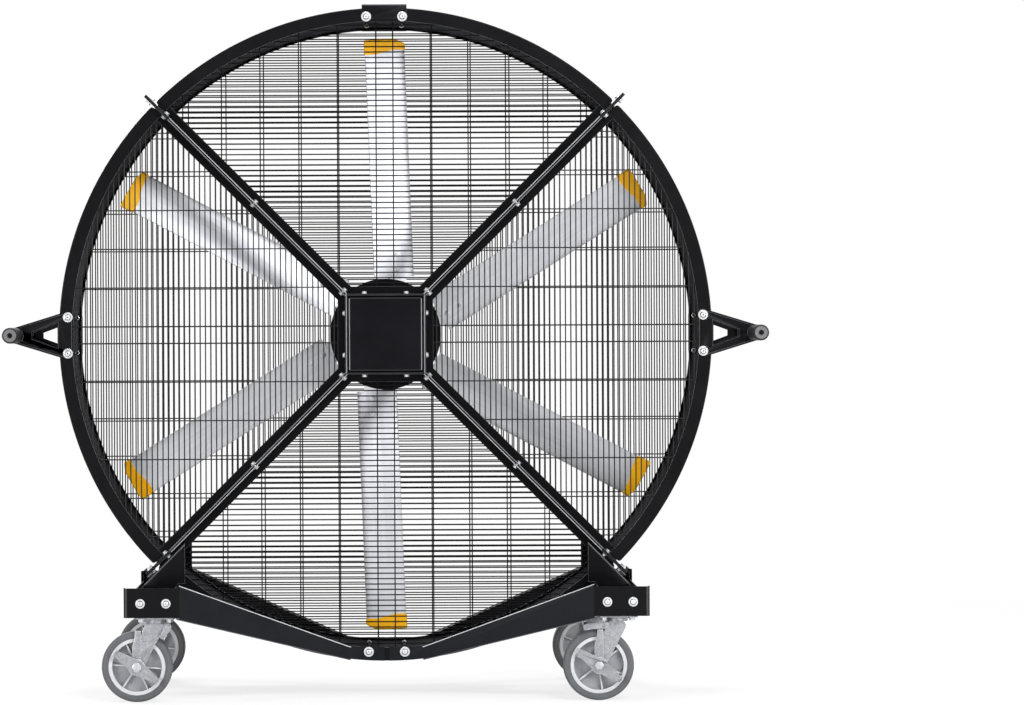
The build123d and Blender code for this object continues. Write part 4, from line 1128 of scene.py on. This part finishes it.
def platedTint(centre):
    # undersides are painted dark as painted shade, and the axle bolt head is painted pale in a washer painted
    # dark, painted highlight and painted shade
    def tint(face, pale):
        out = face.calc_center_median() - centre
        reach = hypot(out.x, out.z)
        if reach < platedPales["headRadius"] and abs(out.y) > platedPales["headFrom"]:
            if abs(face.normal.y) < 0.99:
                return pale
            return platedPales["head"] if reach < 0.003 else platedPales["washer"]
        return platedPales["under"] if face.normal.z < -0.25 and abs(face.normal.y) < 0.6 else pale
    return tint


for place in ("front_left", "front_right", "rear_left", "rear_right"):
    low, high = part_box("wheel_" + place)
    centre = (low + high) / 2
    for kind, tint in (("fork", platedTint(centre)), ("brake_lever", None), ("swivel_lock", None)):
        dressed(f"{kind}_{place}", cut=0.0013, cutPale=0.95, flatFrom=0.006, tint=tint)
    dressed("wheel_" + place, cut=0.0012, tint=wheelTint(centre.y))
dressed("caster_plates", cut=0.0009, cutPale=0.9)

tyre = {"outer": 0.106, "inner": 0.0853, "half": 0.025, "round": 0.009, "seat": 0.022, "steps": 96}


def tyreMesh(centre):
    outer, inner, half, corner = tyre["outer"], tyre["inner"], tyre["half"], tyre["round"]
    side = []
    for step in range(7):
        turn = radians(15 * step)
        side.append((outer - corner + corner * cos(turn), half - corner + corner * sin(turn)))
    # a shallow step between tread and side wall, then the bead on the rim
    side += [(0.0925, half), (0.0918, half - 0.0008), (0.0878, half - 0.0008), (inner, half - 0.003)]
    outline = side + [(radius, -y) for radius, y in reversed(side)]
    mesh = bmesh.new()
    spunAboutY(mesh, outline, tyre["steps"])
    bmesh.ops.translate(mesh, verts=mesh.verts, vec=centre)
    return mesh


for place in ("front_left", "front_right", "rear_left", "rear_right"):
    node = "tyre_" + place
    low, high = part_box(node)
    landed(tyreMesh((low + high) / 2), node + "_finished", finishes["tyre_grey"],
           bodyOf[node], slotOf[node], [node])
print("casters finished")


# handle grips

grip = {"radius": 0.024, "bore": 0.019, "groove": 0.0009, "ribs": 14, "round": 0.005, "dimple": 0.006,
        "steps": 64, "endHighlight": 0.45}


def gripMesh(low, high, outward):
    # profile from the closed outer end to the mouth round the tube
    length = high.y - low.y
    radius, corner = grip["radius"], grip["round"]
    outline = [(0.0, grip["dimple"]), (0.0035, grip["dimple"] * 0.9), (0.006, 0.0014), (0.0085, 0.0)]
    for step in range(5):
        turn = radians(22.5 * step)
        outline.append((radius - corner + corner * sin(turn), corner - corner * cos(turn)))
    first, last = 0.018, length - 0.016
    pitch = (last - first) / grip["ribs"]
    for number in range(grip["ribs"]):
        at = first + number * pitch
        deep = radius - grip["groove"]
        outline += [(radius, at), (deep, at + pitch * 0.12), (deep, at + pitch * 0.3), (radius, at + pitch * 0.42)]
    outline += [(radius, length - 0.010), (radius, length - 0.0015), (radius - 0.0015, length),
                (grip["bore"], length)]
    mesh = bmesh.new()
    verts = [mesh.verts.new((r, y, 0)) for r, y in outline]
    edges = [mesh.edges.new(pair) for pair in zip(verts, verts[1:])]
    bmesh.ops.spin(mesh, geom=verts + edges, cent=(0, 0, 0), axis=(0, 1, 0), dvec=(0, 0, 0),
                   angle=2 * pi, steps=grip["steps"], use_merge=True, use_duplicate=False)
    bmesh.ops.remove_doubles(mesh, verts=mesh.verts, dist=1e-6)
    layer = paintedLightLayer(mesh)
    for face in mesh.faces:
        middle = face.calc_center_median()
        if middle.y < 0.0001 and hypot(middle.x, middle.z) > 0.007:       # the flat end is painted pale, a painted highlight
            face[layer] = grip["endHighlight"]
    if outward > 0:
        bmesh.ops.scale(mesh, vec=(1, -1, 1), verts=mesh.verts)
        bmesh.ops.translate(mesh, verts=mesh.verts, vec=(0, high.y, 0))
    else:
        bmesh.ops.translate(mesh, verts=mesh.verts, vec=(0, low.y, 0))
    bmesh.ops.translate(mesh, verts=mesh.verts, vec=((low.x + high.x) / 2, 0, (low.z + high.z) / 2))
    bmesh.ops.recalc_face_normals(mesh, faces=mesh.faces)
    return mesh


gripLow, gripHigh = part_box("handle_grips")
gripLength = 0.149
for side, name in ((-1, "left"), (1, "right")):
    centre = side * (gripHigh.x - grip["radius"])
    for end, endName in ((-1, "front"), (1, "rear")):
        outerY = end * gripHigh.y
        innerY = end * (gripHigh.y - gripLength)
        low = Vector((centre, min(outerY, innerY), hub.z))
        high = Vector((centre, max(outerY, innerY), hub.z))
        landed(gripMesh(low, high, end), f"handle_grip_{endName}_{name}", finishes["grip_rubber"],
               bodyOf["handle_grips"], slotOf["handle_grips"], ["handle_grips"])
print("handle grips made")
